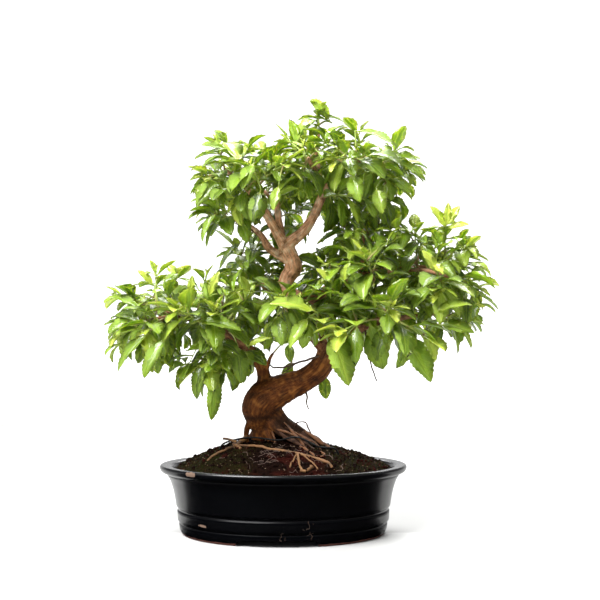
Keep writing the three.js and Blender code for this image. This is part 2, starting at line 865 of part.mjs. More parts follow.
function makeShoots(wood) {
  remember(wood, "wood");
  const shoots = [];
  for (const [padName, pad] of Object.entries(PADS)) {
    pad.shoots.forEach((row, index) => {
      const name = `${padName}_shoot_${String(index + 1).padStart(2, "0")}`;
      const number = shoots.length;
      const shoot = { name, number, row, line: stemLine(pad, row, number, wood), leaves: [] };
      shoots.push(shoot);
      remember(stemSolid(shoot, SEAT_GAP), name);
    });
  }
  for (const shoot of shoots) {
    const stem = stemSolid(shoot, 0);
    for (let node = 0; node < shoot.row[3]; node++) {
      const [lower, upper] = nodeRings(shoot, node, 0);
      for (const side of node ? [0, 1, 2, 3] : [0, 2]) {
        for (let attempt = 0; attempt < ATTEMPTS; attempt++) {
          const leaf = leafAt(shoot, node, side, attempt);
          const grown = closedBlade(leaf, 0, cornersFor(leaf, faceCorners(lower, upper, side)));
          if (inWindow(leaf) || !staysClear(leaf, grown, stem, shoot.name)) continue;
          shoot.leaves.push({ ...leaf, node, side });
          remember(grown, shoot.name, true);
          break;
        }
      }
    }
  }
  return shoots;
}

// Tie wire: a thin black wire over the foot of the trunk, with both ends pushed into the soil
const WIRE_RADIUS = 1;
const WIRE_ROUTE = [
  [-70, -14, 84],
  [-69, -15, 99],
  [-52, -20, 106],
  [-32, -25, 108.5],
  [-6, -29, 106],
  [16, -28, 109],
  [40, -32, 99],
  [58, -32, 96.5],
  [64, -31, 82],
];

function wireSolid(swell) {
  return limbSolid(
    WIRE_ROUTE.map((row) => [...row, WIRE_RADIUS + swell]),
    6,
    16,
  );
}

const bonsai = new THREE.Group();
const trunk = makeTrunk();
const sunk = makeWood(SEAT_GAP + 0.1).add(wireSolid(SEAT_GAP));
bonsai.add(meshOf("pot", makePot(), FINISH.glaze));
bonsai.add(meshOf("drain_screen_left", makeScreen(-1), FINISH.screen));
bonsai.add(meshOf("drain_screen_right", makeScreen(1), FINISH.screen));
bonsai.add(meshOf("soil", makeSoil(sunk, [-1, 1]), FINISH.soil));
bonsai.add(meshOf("trunk", trunk, FINISH.bark));
bonsai.add(meshOf("tie_wire", wireSolid(0), FINISH.wire));
for (const shoot of makeShoots(trunk)) {
  bonsai.add(meshOf(shoot.name, solidOf(shootGeometry(shoot)), FINISH.leaf));
}

// The tree leans out to the right of its pot, so the origin moves from the pot's middle to the whole one's
const extent = new THREE.Box3().setFromObject(bonsai);
const middle = extent.getCenter(vec(0, 0, 0));
bonsai.position.set(-middle.x, -middle.y, -extent.min.z);

export default bonsai;
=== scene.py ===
"""Golden dewdrop bonsai in an oval glazed pot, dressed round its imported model.

Shapes are worked out in millimetres about the middle of the pot, with +Z up and the front towards -Y.
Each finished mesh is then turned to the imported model's own frame, which is in metres.
"""

from __future__ import annotations

import logging
import math
import random
from collections.abc import Iterable, Sequence
from dataclasses import dataclass, field
from enum import Enum

import bmesh
import bpy
import numpy as np
from bmesh.types import BMEdge, BMesh, BMVert
from bpy.types import Mesh, Node, NodeTree, Object
from mathutils import Matrix, Vector, kdtree, noise

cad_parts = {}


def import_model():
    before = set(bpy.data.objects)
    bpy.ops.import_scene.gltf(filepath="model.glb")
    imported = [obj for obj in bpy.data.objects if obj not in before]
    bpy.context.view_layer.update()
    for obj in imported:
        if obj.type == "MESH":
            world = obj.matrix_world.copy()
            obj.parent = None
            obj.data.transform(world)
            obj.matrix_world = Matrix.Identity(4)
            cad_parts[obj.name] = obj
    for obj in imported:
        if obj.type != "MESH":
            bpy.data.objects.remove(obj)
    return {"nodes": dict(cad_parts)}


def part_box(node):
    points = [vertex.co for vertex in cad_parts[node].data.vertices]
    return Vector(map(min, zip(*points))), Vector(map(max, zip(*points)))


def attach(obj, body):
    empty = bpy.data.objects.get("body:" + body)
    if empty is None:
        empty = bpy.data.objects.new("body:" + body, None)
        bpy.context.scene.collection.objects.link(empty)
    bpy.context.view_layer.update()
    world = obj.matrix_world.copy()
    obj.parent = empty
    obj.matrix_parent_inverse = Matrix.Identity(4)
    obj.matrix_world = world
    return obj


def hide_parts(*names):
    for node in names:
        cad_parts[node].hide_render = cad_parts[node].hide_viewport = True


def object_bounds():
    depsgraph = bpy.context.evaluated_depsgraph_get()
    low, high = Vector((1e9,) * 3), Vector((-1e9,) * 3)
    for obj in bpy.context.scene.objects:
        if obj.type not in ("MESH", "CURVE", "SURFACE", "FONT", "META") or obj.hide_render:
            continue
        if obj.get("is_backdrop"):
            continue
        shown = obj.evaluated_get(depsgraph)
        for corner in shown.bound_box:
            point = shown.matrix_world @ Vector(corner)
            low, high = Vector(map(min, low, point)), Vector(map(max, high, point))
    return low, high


log = logging.getLogger("bonsai")

MM = 0.001
BODY = "root"
NOISE_SEED = 3
Row = tuple[float, float, float, float]
Socket = bpy.types.NodeSocket


class Slot(Enum):
    """Finishes that the record names."""

    GLAZE = "pot_glaze"
    SOIL = "soil"
    BARK = "bark"
    LEAF = "leaf"
    WIRE = "tie_wire"
    SCREEN = "screen"


def linear(code: str) -> tuple[float, float, float, float]:
    """Turn an sRGB hex colour to linear light.

    Args:
        code: the colour, such as "#5d8f17".

    Returns:
        Red, green, blue and full alpha.
    """
    shares = [int(code[i : i + 2], 16) / 255 for i in (1, 3, 5)]
    red, green, blue = (s / 12.92 if s <= 0.04045 else ((s + 0.055) / 1.055) ** 2.4 for s in shares)
    return red, green, blue, 1.0


def per(size: float) -> float:
    """Return how many times a pattern of a size in millimetres fits in a metre."""
    return 1 / (size * MM)


def add(
    tree: NodeTree, kind: str, inputs: dict | None = None, out: str | None = None, **settings: object
) -> Socket:
    """Add a shader node, where a Mix node mixes colours.

    Args:
        tree: the tree that takes it.
        kind: the node's type, without its ShaderNode prefix.
        inputs: a value or an output socket for each input, by its name or number.
        out: the output wanted, or None for the first one in use.
        settings: the node's own properties.

    Returns:
        The output socket.
    """
    node = tree.nodes.new("ShaderNode" + kind)
    if kind == "Mix":
        node.data_type = "RGBA"
    for key, value in settings.items():
        setattr(node, key, value)
    for key, value in (inputs or {}).items():
        if isinstance(value, Socket):
            tree.links.new(value, node.inputs[key])
        else:
            node.inputs[key].default_value = value
    return node.outputs[out] if out else next(socket for socket in node.outputs if socket.enabled)


@dataclass(frozen=True)
class Finish:
    """A named finish, whose material is made once."""

    name: str

    def material(self) -> bpy.types.Material:
        """Return the finish's material."""
        made = bpy.data.materials.get(self.name)
        if made is None:
            made = bpy.data.materials.new(self.name)
            made.use_nodes = True
            self.dress(made.node_tree, made.node_tree.nodes["Principled BSDF"])
        return made

    def dress(self, tree: NodeTree, shader: Node) -> None:
        """Set the shader and the patterns that feed it.

        Args:
            tree: the material's node tree.
            shader: its Principled node.
        """
        raise NotImplementedError


@dataclass(frozen=True)
class GlazedStoneware(Finish):
    """Stoneware dipped in a near-black glossy glaze: mirror-like, with bare clay at the foot and at chips."""

    glaze: str = "#020203"
    pooled: str = "#06070a"
    clay: str = "#5c3228"
    chipped: str = "#6b5546"
    foot_line: float = 3.4
    ledges: tuple[float, ...] = (25.6, 10.8)
    chips: tuple[tuple[Vector, float], ...] = ()
    scratches: tuple[tuple[Vector, float], ...] = ()

    def dress(self, tree: NodeTree, shader: Node) -> None:
        """Set the glaze, and the clay where it is bare."""
        place = add(tree, "TexCoord", out="Object")
        cloud = add(tree, "TexNoise", {"Vector": place, "Scale": per(40), "Detail": 3.0})
        fray = add(tree, "TexNoise", {"Vector": place, "Scale": per(5), "Detail": 4.0})
        glaze = add(tree, "Mix", {0: cloud, 6: linear(self.glaze), 7: linear(self.pooled)})
        height = add(tree, "SeparateXYZ", {"Vector": place}, out="Z")
        edge = add(tree, "Math", {0: fray, 1: 2.4 * MM, 2: height}, operation="MULTIPLY_ADD")
        foot = add(
            tree,
            "MapRange",
            {"Value": edge, 1: self.foot_line * MM, 2: (self.foot_line + 0.6) * MM, 3: 1.0, 4: 0.0},
        )
        chipped: Socket | None = None
        for spot, radius in self.chips:
            mask = self.spot_mask(tree, place, fray, spot, radius)
            chipped = mask if chipped is None else self.either(tree, chipped, mask)
        line = add(tree, "TexNoise", {"Vector": place, "Scale": per(7), "Detail": 1.0})
        off_line = add(tree, "Math", {0: line, 1: 0.5}, operation="SUBTRACT")
        how_far = add(tree, "Math", {0: off_line}, operation="ABSOLUTE")
        thin = add(tree, "MapRange", {"Value": how_far, 1: 0.008, 2: 0.02, 3: 0.55, 4: 0.0})
        for spot, radius in self.scratches:
            near = self.spot_mask(tree, place, fray, spot, radius)
            mark = add(tree, "Math", {0: near, 1: thin}, operation="MULTIPLY")
            chipped = self.either(tree, chipped, mark)
        footed = add(tree, "Mix", {0: foot, 6: glaze, 7: linear(self.clay)})
        marked = add(tree, "Mix", {0: chipped, 6: footed, 7: linear(self.chipped)})
        bare = self.either(tree, foot, chipped)
        rough = add(tree, "MapRange", {"Value": bare, 3: 0.26, 4: 0.8})
        grit = add(tree, "TexNoise", {"Vector": place, "Scale": per(0.8), "Detail": 2.0})
        sunk = add(tree, "Math", {0: bare, 1: -0.8, 2: 0.5}, operation="MULTIPLY_ADD")
        pitted = add(tree, "Math", {0: grit, 1: bare}, operation="MULTIPLY")
        relief = add(tree, "Math", {0: sunk, 1: pitted}, operation="ADD")
        peel = add(tree, "Bump", {"Height": cloud, "Distance": 0.5 * MM, "Strength": 0.15})
        bump = add(tree, "Bump", {"Height": relief, "Distance": 0.4 * MM, "Strength": 0.6, "Normal": peel})
        tree.links.new(marked, shader.inputs["Base Color"])
        tree.links.new(rough, shader.inputs["Roughness"])
        tree.links.new(bump, shader.inputs["Normal"])
        upper, lower = (
            add(tree, "Math", {0: height, 1: ledge * MM, 2: 1.7 * MM}, operation="COMPARE")
            for ledge in self.ledges
        )
        dull = add(tree, "MapRange", {"Value": self.either(tree, upper, lower), 3: 0.5, 4: 0.08})
        tree.links.new(dull, shader.inputs["Specular IOR Level"])

    @staticmethod
    def either(tree: NodeTree, first: Socket, second: Socket) -> Socket:
        """Return the higher of two masks."""
        return add(tree, "Math", {0: first, 1: second}, operation="MAXIMUM")

    @staticmethod
    def spot_mask(tree: NodeTree, place: Socket, fray: Socket, spot: Vector, radius: float) -> Socket:
        """Return a mask that is 1 in a frayed spot and 0 outside it.

        Args:
            tree: the material's node tree.
            place: the surface's own place.
            fray: the noise that frays the spot's edge.
            spot: its middle, in metres.
            radius: its radius, in millimetres.
        """
        far = add(tree, "VectorMath", {0: place, 1: spot}, operation="DISTANCE")
        frayed = add(tree, "Math", {0: fray, 1: radius * MM * 1.6, 2: far}, operation="MULTIPLY_ADD")
        edge = radius * MM * 1.9
        return add(tree, "MapRange", {"Value": frayed, 1: edge, 2: edge + 0.3 * MM, 3: 1.0, 4: 0.0})


@dataclass(frozen=True)
class Bark(Finish):
    """Living bark: dull and finely furrowed along the limb, browner low down and pinkish tan above, with
    painted shade right of the trunk's foot and in a band under its bulge.
    """

    furrow: str = "#281203"
    low: str = "#673812"
    high: str = "#e6aa80"
    warm: str = "#b87636"
    pale: str = "#fff0cc"
    # Colour of the dark blotches, and of the painted shade.
    dark_spot_and_shade: str = "#22140b"

    def dress(self, tree: NodeTree, shader: Node) -> None:
        """Set the bark's colours along the grain, and its furrows."""
        grain = add(tree, "Attribute", out="Vector", attribute_name="grain")
        relief = add(tree, "Attribute", out="Fac", attribute_name="relief")
        age = add(tree, "Attribute", out="Fac", attribute_name="age")
        place = add(tree, "TexCoord", out="Object")
        fibre = add(tree, "TexNoise", {"Vector": grain, "Scale": per(1.5), "Detail": 6.0, "Roughness": 0.6})
        patch = add(tree, "TexNoise", {"Vector": place, "Scale": per(8), "Detail": 5.0})
        flake = add(tree, "TexVoronoi", {"Vector": place, "Scale": per(2.6), "Randomness": 1.0})
        body = add(tree, "Mix", {0: age, 6: linear(self.high), 7: linear(self.low)})
        smooth = add(tree, "MapRange", {"Value": age, 3: 0.35, 4: 0.12})
        streak = add(tree, "MapRange", {"Value": fibre, 1: 0.3, 2: 0.6, 3: smooth, 4: 1.0})
        streaked = add(tree, "Mix", {0: streak, 6: linear(self.furrow), 7: body})
        ridge = add(tree, "MapRange", {"Value": relief, 1: 0.5, 2: 0.95, 3: 0.0, 4: 0.5})
        crest = add(tree, "Mix", {0: age, 6: linear(self.pale), 7: linear(self.warm)})
        lit = add(tree, "Mix", {0: ridge, 6: streaked, 7: crest})
        sunk = add(tree, "MapRange", {"Value": relief, 1: 0.0, 2: 0.4, 3: 0.7, 4: 0.0})
        furrowed = add(tree, "Mix", {0: sunk, 6: lit, 7: linear(self.furrow)})
        blotch = add(tree, "MapRange", {"Value": patch, 1: 0.5, 2: 0.68, 3: 0.0, 4: 0.55})
        blotched = add(tree, "Mix", {0: blotch, 6: furrowed, 7: linear(self.dark_spot_and_shade)})
        pore = add(tree, "MapRange", {"Value": flake, 1: 0.06, 2: 0.18, 3: 0.25, 4: 0.0})
        pored = add(tree, "Mix", {0: pore, 6: blotched, 7: crest})
        # Painted shade: the corner attribute read here darkens the wood towards the dark colour right of the
        # trunk's foot and in a band under its bulge.
        painted_shade = add(tree, "Attribute", out="Fac", attribute_name="painted_shade")
        painted_shade_share = add(tree, "Math", {0: painted_shade, 1: 0.85}, operation="MULTIPLY")
        with_painted_shade = add(tree, "Mix", {0: painted_shade_share, 6: pored, 7: linear(self.dark_spot_and_shade)})
        rough = add(tree, "MapRange", {"Value": fibre, 3: 0.92, 4: 0.66})
        height = add(tree, "Math", {0: flake, 1: 0.5, 2: fibre}, operation="MULTIPLY_ADD")
        bump = add(tree, "Bump", {"Height": height, "Distance": 0.9 * MM, "Strength": 0.8})
        tree.links.new(with_painted_shade, shader.inputs["Base Color"])
        shader.inputs["Specular IOR Level"].default_value = 0.2
        tree.links.new(rough, shader.inputs["Roughness"])
        tree.links.new(bump, shader.inputs["Normal"])


@dataclass(frozen=True)
class RootSkin(Finish):
    """Skin of roots in the open: smooth, dull and paler than the bark, with earth in its creases."""

    skin: str = "#cfa571"
    shade: str = "#8a5a34"
    earth: str = "#3f2717"

    def dress(self, tree: NodeTree, shader: Node) -> None:
        """Set the skin's colours and its creases."""
        place = add(tree, "TexCoord", out="Object")
        mottle = add(tree, "TexNoise", {"Vector": place, "Scale": per(6), "Detail": 5.0})
        soiled = add(tree, "TexNoise", {"Vector": place, "Scale": per(15), "Detail": 3.0})
        skin = add(tree, "Mix", {0: mottle, 6: linear(self.shade), 7: linear(self.skin)})
        dirt = add(tree, "MapRange", {"Value": soiled, 1: 0.52, 2: 0.7, 3: 0.0, 4: 0.8})
        soiled_skin = add(tree, "Mix", {0: dirt, 6: skin, 7: linear(self.earth)})
        rough = add(tree, "MapRange", {"Value": mottle, 3: 0.85, 4: 0.6})
        bump = add(tree, "Bump", {"Height": mottle, "Distance": 0.5 * MM, "Strength": 0.5})
        tree.links.new(soiled_skin, shader.inputs["Base Color"])
        tree.links.new(rough, shader.inputs["Roughness"])
        tree.links.new(bump, shader.inputs["Normal"])


@dataclass(frozen=True)
class LeafBlade(Finish):
    """A waxy living leaf: satin gloss above, paler and duller below, with light that seeps through the blade.

    The blade's map runs from its stalk to its tip, and from -1 to 1 across it. The underside
    lies UNDER higher.
    """

    # Green of old leaves, also used as painted shade for the leaves of the back and lower clumps.
    old: str = "#213a04"
    grown: str = "#739510"
    young: str = "#c4d34c"
    vein: str = "#bccb58"
    underside: str = "#86a044"
    stalk: str = "#b6c25a"
    veins: float = 7.5
    slant: float = 2.0

    def dress(self, tree: NodeTree, shader: Node) -> None:
        """Set the blade's greens, its veins and its gloss."""
        blade = add(tree, "UVMap", uv_map="blade")
        tone = add(tree, "Attribute", out="Fac", attribute_name="tone")
        place = add(tree, "TexCoord", out="Object")
        along = add(tree, "SeparateXYZ", {"Vector": blade}, out="X")
        across = along.node.outputs["Y"]
        under = add(tree, "Math", {0: across, 1: UNDER / 2}, operation="GREATER_THAN")
        level = add(tree, "Math", {0: under, 1: -UNDER, 2: across}, operation="MULTIPLY_ADD")
        aside = add(tree, "Math", {0: level}, operation="ABSOLUTE")
        rib = add(tree, "MapRange", {"Value": aside, 1: 0.02, 2: 0.08, 3: 1.0, 4: 0.0})
        lag = add(tree, "Math", {0: aside, 1: -self.slant}, operation="MULTIPLY")
        phase = add(tree, "Math", {0: along, 1: self.veins, 2: lag}, operation="MULTIPLY_ADD")
        wave = add(tree, "Math", {0: phase, 1: 0.5}, operation="PINGPONG")
        side_vein = add(tree, "MapRange", {"Value": wave, 1: 0.02, 2: 0.12, 3: 0.5, 4: 0.0})
        veined = add(tree, "Math", {0: rib, 1: side_vein}, operation="MAXIMUM")
        # Low tone mixes towards the old green: older leaves, and painted shade in the back and lower clumps.
        aged_and_shaded = add(tree, "MapRange", {"Value": tone, 1: 0.1, 2: 0.5})
        fresh = add(tree, "MapRange", {"Value": tone, 1: 0.5, 2: 1.0})
        green = add(tree, "Mix", {0: aged_and_shaded, 6: linear(self.old), 7: linear(self.grown)})
        greens = add(tree, "Mix", {0: fresh, 6: green, 7: linear(self.young)})
        mottle = add(tree, "TexNoise", {"Vector": place, "Scale": per(9), "Detail": 3.0})
        shade = add(tree, "MapRange", {"Value": mottle, 1: 0.3, 2: 0.7, 3: 0.86, 4: 1.14})
        varied = add(tree, "HueSaturation", {"Value": shade, "Color": greens})
        pale = add(tree, "Math", {0: under, 1: 0.6}, operation="MULTIPLY")
        turned = add(tree, "Mix", {0: pale, 6: varied, 7: linear(self.underside)})
        vein_share = add(tree, "Math", {0: veined, 1: 0.3}, operation="MULTIPLY")
        ribbed = add(tree, "Mix", {0: vein_share, 6: turned, 7: linear(self.vein)})
        stalk_share = add(tree, "MapRange", {"Value": along, 1: 0.08, 2: 0.2, 3: 0.8, 4: 0.0})
        stalked = add(tree, "Mix", {0: stalk_share, 6: ribbed, 7: linear(self.stalk)})
        rough = add(tree, "MapRange", {"Value": under, 3: 0.3, 4: 0.65})
        net = add(tree, "TexVoronoi", {"Vector": place, "Scale": per(2.2)}, feature="DISTANCE_TO_EDGE")
        swell = add(tree, "Math", {0: veined, 1: -1.0, 2: net}, operation="MULTIPLY_ADD")
        bump = add(tree, "Bump", {"Height": swell, "Distance": 0.45 * MM, "Strength": 0.5})
        tree.links.new(stalked, shader.inputs["Base Color"])
        tree.links.new(rough, shader.inputs["Roughness"])
        tree.links.new(bump, shader.inputs["Normal"])
        sheen = add(tree, "MapRange", {"Value": under, 3: 1.0, 4: 0.2})
        tree.links.new(sheen, shader.inputs["Specular IOR Level"])
        shader.inputs["Subsurface Weight"].default_value = 0.2
        shader.inputs["Subsurface Radius"].default_value = (0.7, 1.0, 0.08)
        shader.inputs["Subsurface Scale"].default_value = 1.2 * MM


@dataclass(frozen=True)
class GreenStem(Finish):
    """A young shoot's stem: smooth and faintly striped, green at the tip and going to wood at its foot."""

    woody: str = "#8a7148"
    green: str = "#9db352"

    def dress(self, tree: NodeTree, shader: Node) -> None:
        """Set the stem's colours and its fine stripes."""
        tone = add(tree, "Attribute", out="Fac", attribute_name="tone")
        place = add(tree, "TexCoord", out="Object")
        speck = add(tree, "TexNoise", {"Vector": place, "Scale": per(2), "Detail": 4.0})
        mixed = add(tree, "Math", {0: speck, 1: 0.5, 2: tone}, operation="MULTIPLY_ADD")
        share = add(tree, "MapRange", {"Value": mixed, 1: 0.3, 2: 0.9})
        colour = add(tree, "Mix", {0: share, 6: linear(self.woody), 7: linear(self.green)})
        bump = add(tree, "Bump", {"Height": speck, "Distance": 0.2 * MM, "Strength": 0.5})
        tree.links.new(colour, shader.inputs["Base Color"])
        tree.links.new(bump, shader.inputs["Normal"])
        shader.inputs["Roughness"].default_value = 0.55


@dataclass(frozen=True)
class PottingSoil(Finish):
    """Damp potting soil of peat and grit: dull, almost black, reddish in places and mossy where wet."""

    peat: str = "#040201"
    humus: str = "#1d0c07"
    red: str = "#35100a"
    moss: str = "#171404"
    grit: str = "#94806c"

    def dress(self, tree: NodeTree, shader: Node) -> None:
        """Set the soil's colours and its crumbs."""
        place = add(tree, "TexCoord", out="Object")
        mossy = add(tree, "Attribute", out="Fac", attribute_name="mossy")
        crumb = add(tree, "TexNoise", {"Vector": place, "Scale": per(2.4), "Detail": 7.0, "Roughness": 0.65})
        patch = add(tree, "TexNoise", {"Vector": place, "Scale": per(22), "Detail": 4.0})
        lump = add(tree, "TexVoronoi", {"Vector": place, "Scale": per(3.2)})
        peat = add(tree, "Mix", {0: crumb, 6: linear(self.peat), 7: linear(self.humus)})
        reddish = add(tree, "MapRange", {"Value": patch, 1: 0.5, 2: 0.62, 3: 0.0, 4: 0.6})
        reddened = add(tree, "Mix", {0: reddish, 6: peat, 7: linear(self.red)})
        greened = add(tree, "Mix", {0: mossy, 6: reddened, 7: linear(self.moss)})
        fleck = add(tree, "TexVoronoi", {"Vector": place, "Scale": per(5)})
        gritty = add(tree, "MapRange", {"Value": fleck, 1: 0.07, 2: 0.12, 3: 0.8, 4: 0.0})
        flecked = add(tree, "Mix", {0: gritty, 6: greened, 7: linear(self.grit)})
        height = add(tree, "Math", {0: lump, 1: -0.8, 2: crumb}, operation="MULTIPLY_ADD")
        bump = add(tree, "Bump", {"Height": height, "Distance": 1.8 * MM, "Strength": 1.0})
        tree.links.new(flecked, shader.inputs["Base Color"])
        tree.links.new(bump, shader.inputs["Normal"])
        shader.inputs["Roughness"].default_value = 0.9
        shader.inputs["Specular IOR Level"].default_value = 0.05


@dataclass(frozen=True)
class Moss(Finish):
    """Cushion moss: a soft dull green, brown where it has dried."""

    wet: str = "#222a08"
    dry: str = "#2b190a"

    def dress(self, tree: NodeTree, shader: Node) -> None:
        """Set the moss's greens."""
        place = add(tree, "TexCoord", out="Object")
        patch = add(tree, "TexNoise", {"Vector": place, "Scale": per(5), "Detail": 4.0})
        share = add(tree, "MapRange", {"Value": patch, 1: 0.35, 2: 0.65})
        colour = add(tree, "Mix", {0: share, 6: linear(self.dry), 7: linear(self.wet)})
        tree.links.new(colour, shader.inputs["Base Color"])
        shader.inputs["Roughness"].default_value = 0.9
        shader.inputs["Specular IOR Level"].default_value = 0.1


@dataclass(frozen=True)
class CoatedWire(Finish):
    """Soft iron wire in a black plastic coat: a dull satin, dusty with soil."""

    coat: str = "#050505"
    dust: str = "#17120e"

    def dress(self, tree: NodeTree, shader: Node) -> None:
        """Set the coat and its dust."""
        place = add(tree, "TexCoord", out="Object")
        dust = add(tree, "TexNoise", {"Vector": place, "Scale": per(6), "Detail": 4.0})
        share = add(tree, "MapRange", {"Value": dust, 1: 0.5, 2: 0.75})
        colour = add(tree, "Mix", {0: share, 6: linear(self.coat), 7: linear(self.dust)})
        rough = add(tree, "MapRange", {"Value": share, 3: 0.55, 4: 0.8})
        tree.links.new(colour, shader.inputs["Base Color"])
        tree.links.new(rough, shader.inputs["Roughness"])
        shader.inputs["Specular IOR Level"].default_value = 0.2


@dataclass(frozen=True)
class ScreenPlastic(Finish):
    """Moulded black plastic mesh, dulled by wet soil."""

    plastic: str = "#1a1a19"
    silt: str = "#3b2c20"

    def dress(self, tree: NodeTree, shader: Node) -> None:
        """Set the plastic and the silt on it."""
        place = add(tree, "TexCoord", out="Object")
        silt = add(tree, "TexNoise", {"Vector": place, "Scale": per(4), "Detail": 5.0})
        share = add(tree, "MapRange", {"Value": silt, 1: 0.45, 2: 0.7})
        colour = add(tree, "Mix", {0: share, 6: linear(self.plastic), 7: linear(self.silt)})
        bump = add(tree, "Bump", {"Height": silt, "Distance": 0.2 * MM, "Strength": 0.5})
        tree.links.new(colour, shader.inputs["Base Color"])
        tree.links.new(bump, shader.inputs["Normal"])
        shader.inputs["Roughness"].default_value = 0.6


@dataclass(frozen=True)
class StudioPaper(Finish):
    """Matt white background paper, lit from behind as on a light table."""

    white: str = "#b6b6b5"
    glow: float = 0.0

    def dress(self, tree: NodeTree, shader: Node) -> None:
        """Set the plain paper."""
        shader.inputs["Base Color"].default_value = linear(self.white)
        shader.inputs["Roughness"].default_value = 0.95
        shader.inputs["Specular IOR Level"].default_value = 0.0
        shader.inputs["Emission Color"].default_value = linear("#ffffff")
        shader.inputs["Emission Strength"].default_value = self.glow


@dataclass(frozen=True)
class BlackCard(Finish):
    """Black felt card, as photographers stand before glossy dark things."""

    felt: str = "#0a0a0b"

    def dress(self, tree: NodeTree, shader: Node) -> None:
        """Set the plain felt."""
        shader.inputs["Base Color"].default_value = linear(self.felt)
        shader.inputs["Roughness"].default_value = 1.0
        shader.inputs["Specular IOR Level"].default_value = 0.0


@dataclass
class Model:
    """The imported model, and the way from millimetres about the pot's middle to its own metres."""

    nodes: dict[str, Object]
    middle: Vector

    @classmethod
    def load(cls) -> Model:
        """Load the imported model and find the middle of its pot."""
        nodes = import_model()["nodes"]
        low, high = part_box("pot")
        return cls(nodes, Vector(((low.x + high.x) / 2, (low.y + high.y) / 2, low.z)))

    @property
    def matrix(self) -> Matrix:
        """The turn from millimetres about the pot to the frame's metres."""
        return Matrix.Translation(self.middle) @ Matrix.Scale(MM, 4)

    def place(self, x: float, y: float, z: float) -> Vector:
        """Return a point in the frame's metres."""
        return self.matrix @ Vector((x, y, z))

    def shape(self, node: str) -> BMesh:
        """Return a node's mesh with its corners joined, in millimetres about the pot."""
        bm = bmesh.new()
        bm.from_mesh(self.nodes[node].data)
        bmesh.ops.remove_doubles(bm, verts=bm.verts, dist=1e-6)
        bmesh.ops.transform(bm, matrix=self.matrix.inverted(), verts=bm.verts)
        return bm

    def piece(
        self,
        bm: BMesh,
        name: str,
        slot: Slot,
        finishes: Sequence[Finish],
        replaces: Sequence[str] = (),
    ) -> Object:
        """slot: the record's finish, which is not used.
            finishes: its own finishes, by the faces' material numbers.
            replaces: the nodes that it stands for.

        Returns:
            The piece.
        """
        bmesh.ops.transform(bm, matrix=self.matrix, verts=bm.verts)
        mesh = bpy.data.meshes.new(name)
        bm.to_mesh(mesh)
        bm.free()
        mesh.shade_smooth()
        made = bpy.data.objects.new(name, mesh)
        bpy.context.scene.collection.objects.link(made)
        for finish in finishes:
            mesh.materials.append(finish.material())
        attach(made, BODY)
        if replaces:
            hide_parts(*replaces)
        log.info("%s has %d faces", name, len(mesh.polygons))
        return made


def evaluated(bm: BMesh, *modifiers: tuple[str, dict]) -> BMesh:
    """Return a shape after modifiers.

    Args:
        bm: the shape. It is freed.
        modifiers: each modifier's type, and its settings by name.
    """
    mesh = bpy.data.meshes.new("scratch")
    bm.to_mesh(mesh)
    bm.free()
    scratch = bpy.data.objects.new("scratch", mesh)
    bpy.context.scene.collection.objects.link(scratch)
    for kind, settings in modifiers:
        modifier = scratch.modifiers.new(kind.lower(), kind)
        for key, value in settings.items():
            setattr(modifier, key, value)
    graph = bpy.context.evaluated_depsgraph_get()
    result = bmesh.new()
    result.from_object(scratch, graph)
    bpy.data.objects.remove(scratch)
    bpy.data.meshes.remove(mesh)
    return result


def smooth_line(rows: Sequence[Row], steps: int) -> tuple[list[Vector], list[float]]:
    """Draw a smooth line through rows.

    Args:
        rows: a place and a radius each.
        steps: how many stretches the line is cut into.

    Returns:
        The line's points, and the radius at each.
    """
    spots = [Vector(row[:3]) for row in rows]
    spots = [2 * spots[0] - spots[1], *spots, 2 * spots[-1] - spots[-2]]
    line, radii = [], []
    for step in range(steps + 1):
        place = step / steps * (len(rows) - 1)
        k = min(len(rows) - 2, int(place))
        t = place - k
        a, b, c, d = spots[k : k + 4]
        bend = (2 * a - 5 * b + 4 * c - d) * t * t + (3 * b - a - 3 * c + d) * t**3
        line.append(0.5 * (2 * b + (c - a) * t + bend))
        radii.append(rows[k][3] * (1 - t) + rows[k + 1][3] * t)
    return line, radii


def directions(line: Sequence[Vector]) -> list[Vector]:
    """Return a line's direction at each of its points."""
    last = len(line) - 1
    return [(line[min(last, i + 1)] - line[max(0, i - 1)]).normalized() for i in range(last + 1)]


def tube(line: Sequence[Vector], radii: Sequence[float], sides: int) -> BMesh:
    """Draw a closed round limb: a ring of edges extruded from each point of a line to the next.

    Args:
        line: the limb's centre line.
        radii: its radius at each point.
        sides: how many sides it has.

    Returns:
        The limb.
    """
    bm = bmesh.new()
    forward = directions(line)
    turn = forward[0].to_track_quat("Z", "Y").to_matrix().to_4x4()
    start = Matrix.Translation(line[0]) @ turn @ Matrix.Scale(radii[0], 4)
    bmesh.ops.create_circle(bm, segments=sides, radius=1, matrix=start)
    edges = list(bm.edges)
    for i in range(1, len(line)):
        made = bmesh.ops.extrude_edge_only(bm, edges=edges)["geom"]
        ring = {part for part in made if isinstance(part, BMVert)}
        edges = [part for part in made if isinstance(part, BMEdge) and ring.issuperset(part.verts)]
        swing = forward[i - 1].rotation_difference(forward[i]).to_matrix().to_4x4()
        step = Matrix.Translation(line[i]) @ swing @ Matrix.Scale(radii[i] / radii[i - 1], 4)
        bmesh.ops.transform(bm, matrix=step @ Matrix.Translation(-line[i - 1]), verts=list(ring))
    bmesh.ops.holes_fill(bm, edges=[edge for edge in bm.edges if edge.is_boundary], sides=sides)
    bmesh.ops.recalc_face_normals(bm, faces=bm.faces)
    return bm


def set_flat(bm: BMesh) -> Mesh:
    """Return a shape as a mesh, and free it."""
    mesh = bpy.data.meshes.new("pattern")
    bm.to_mesh(mesh)
    bm.free()
    return mesh


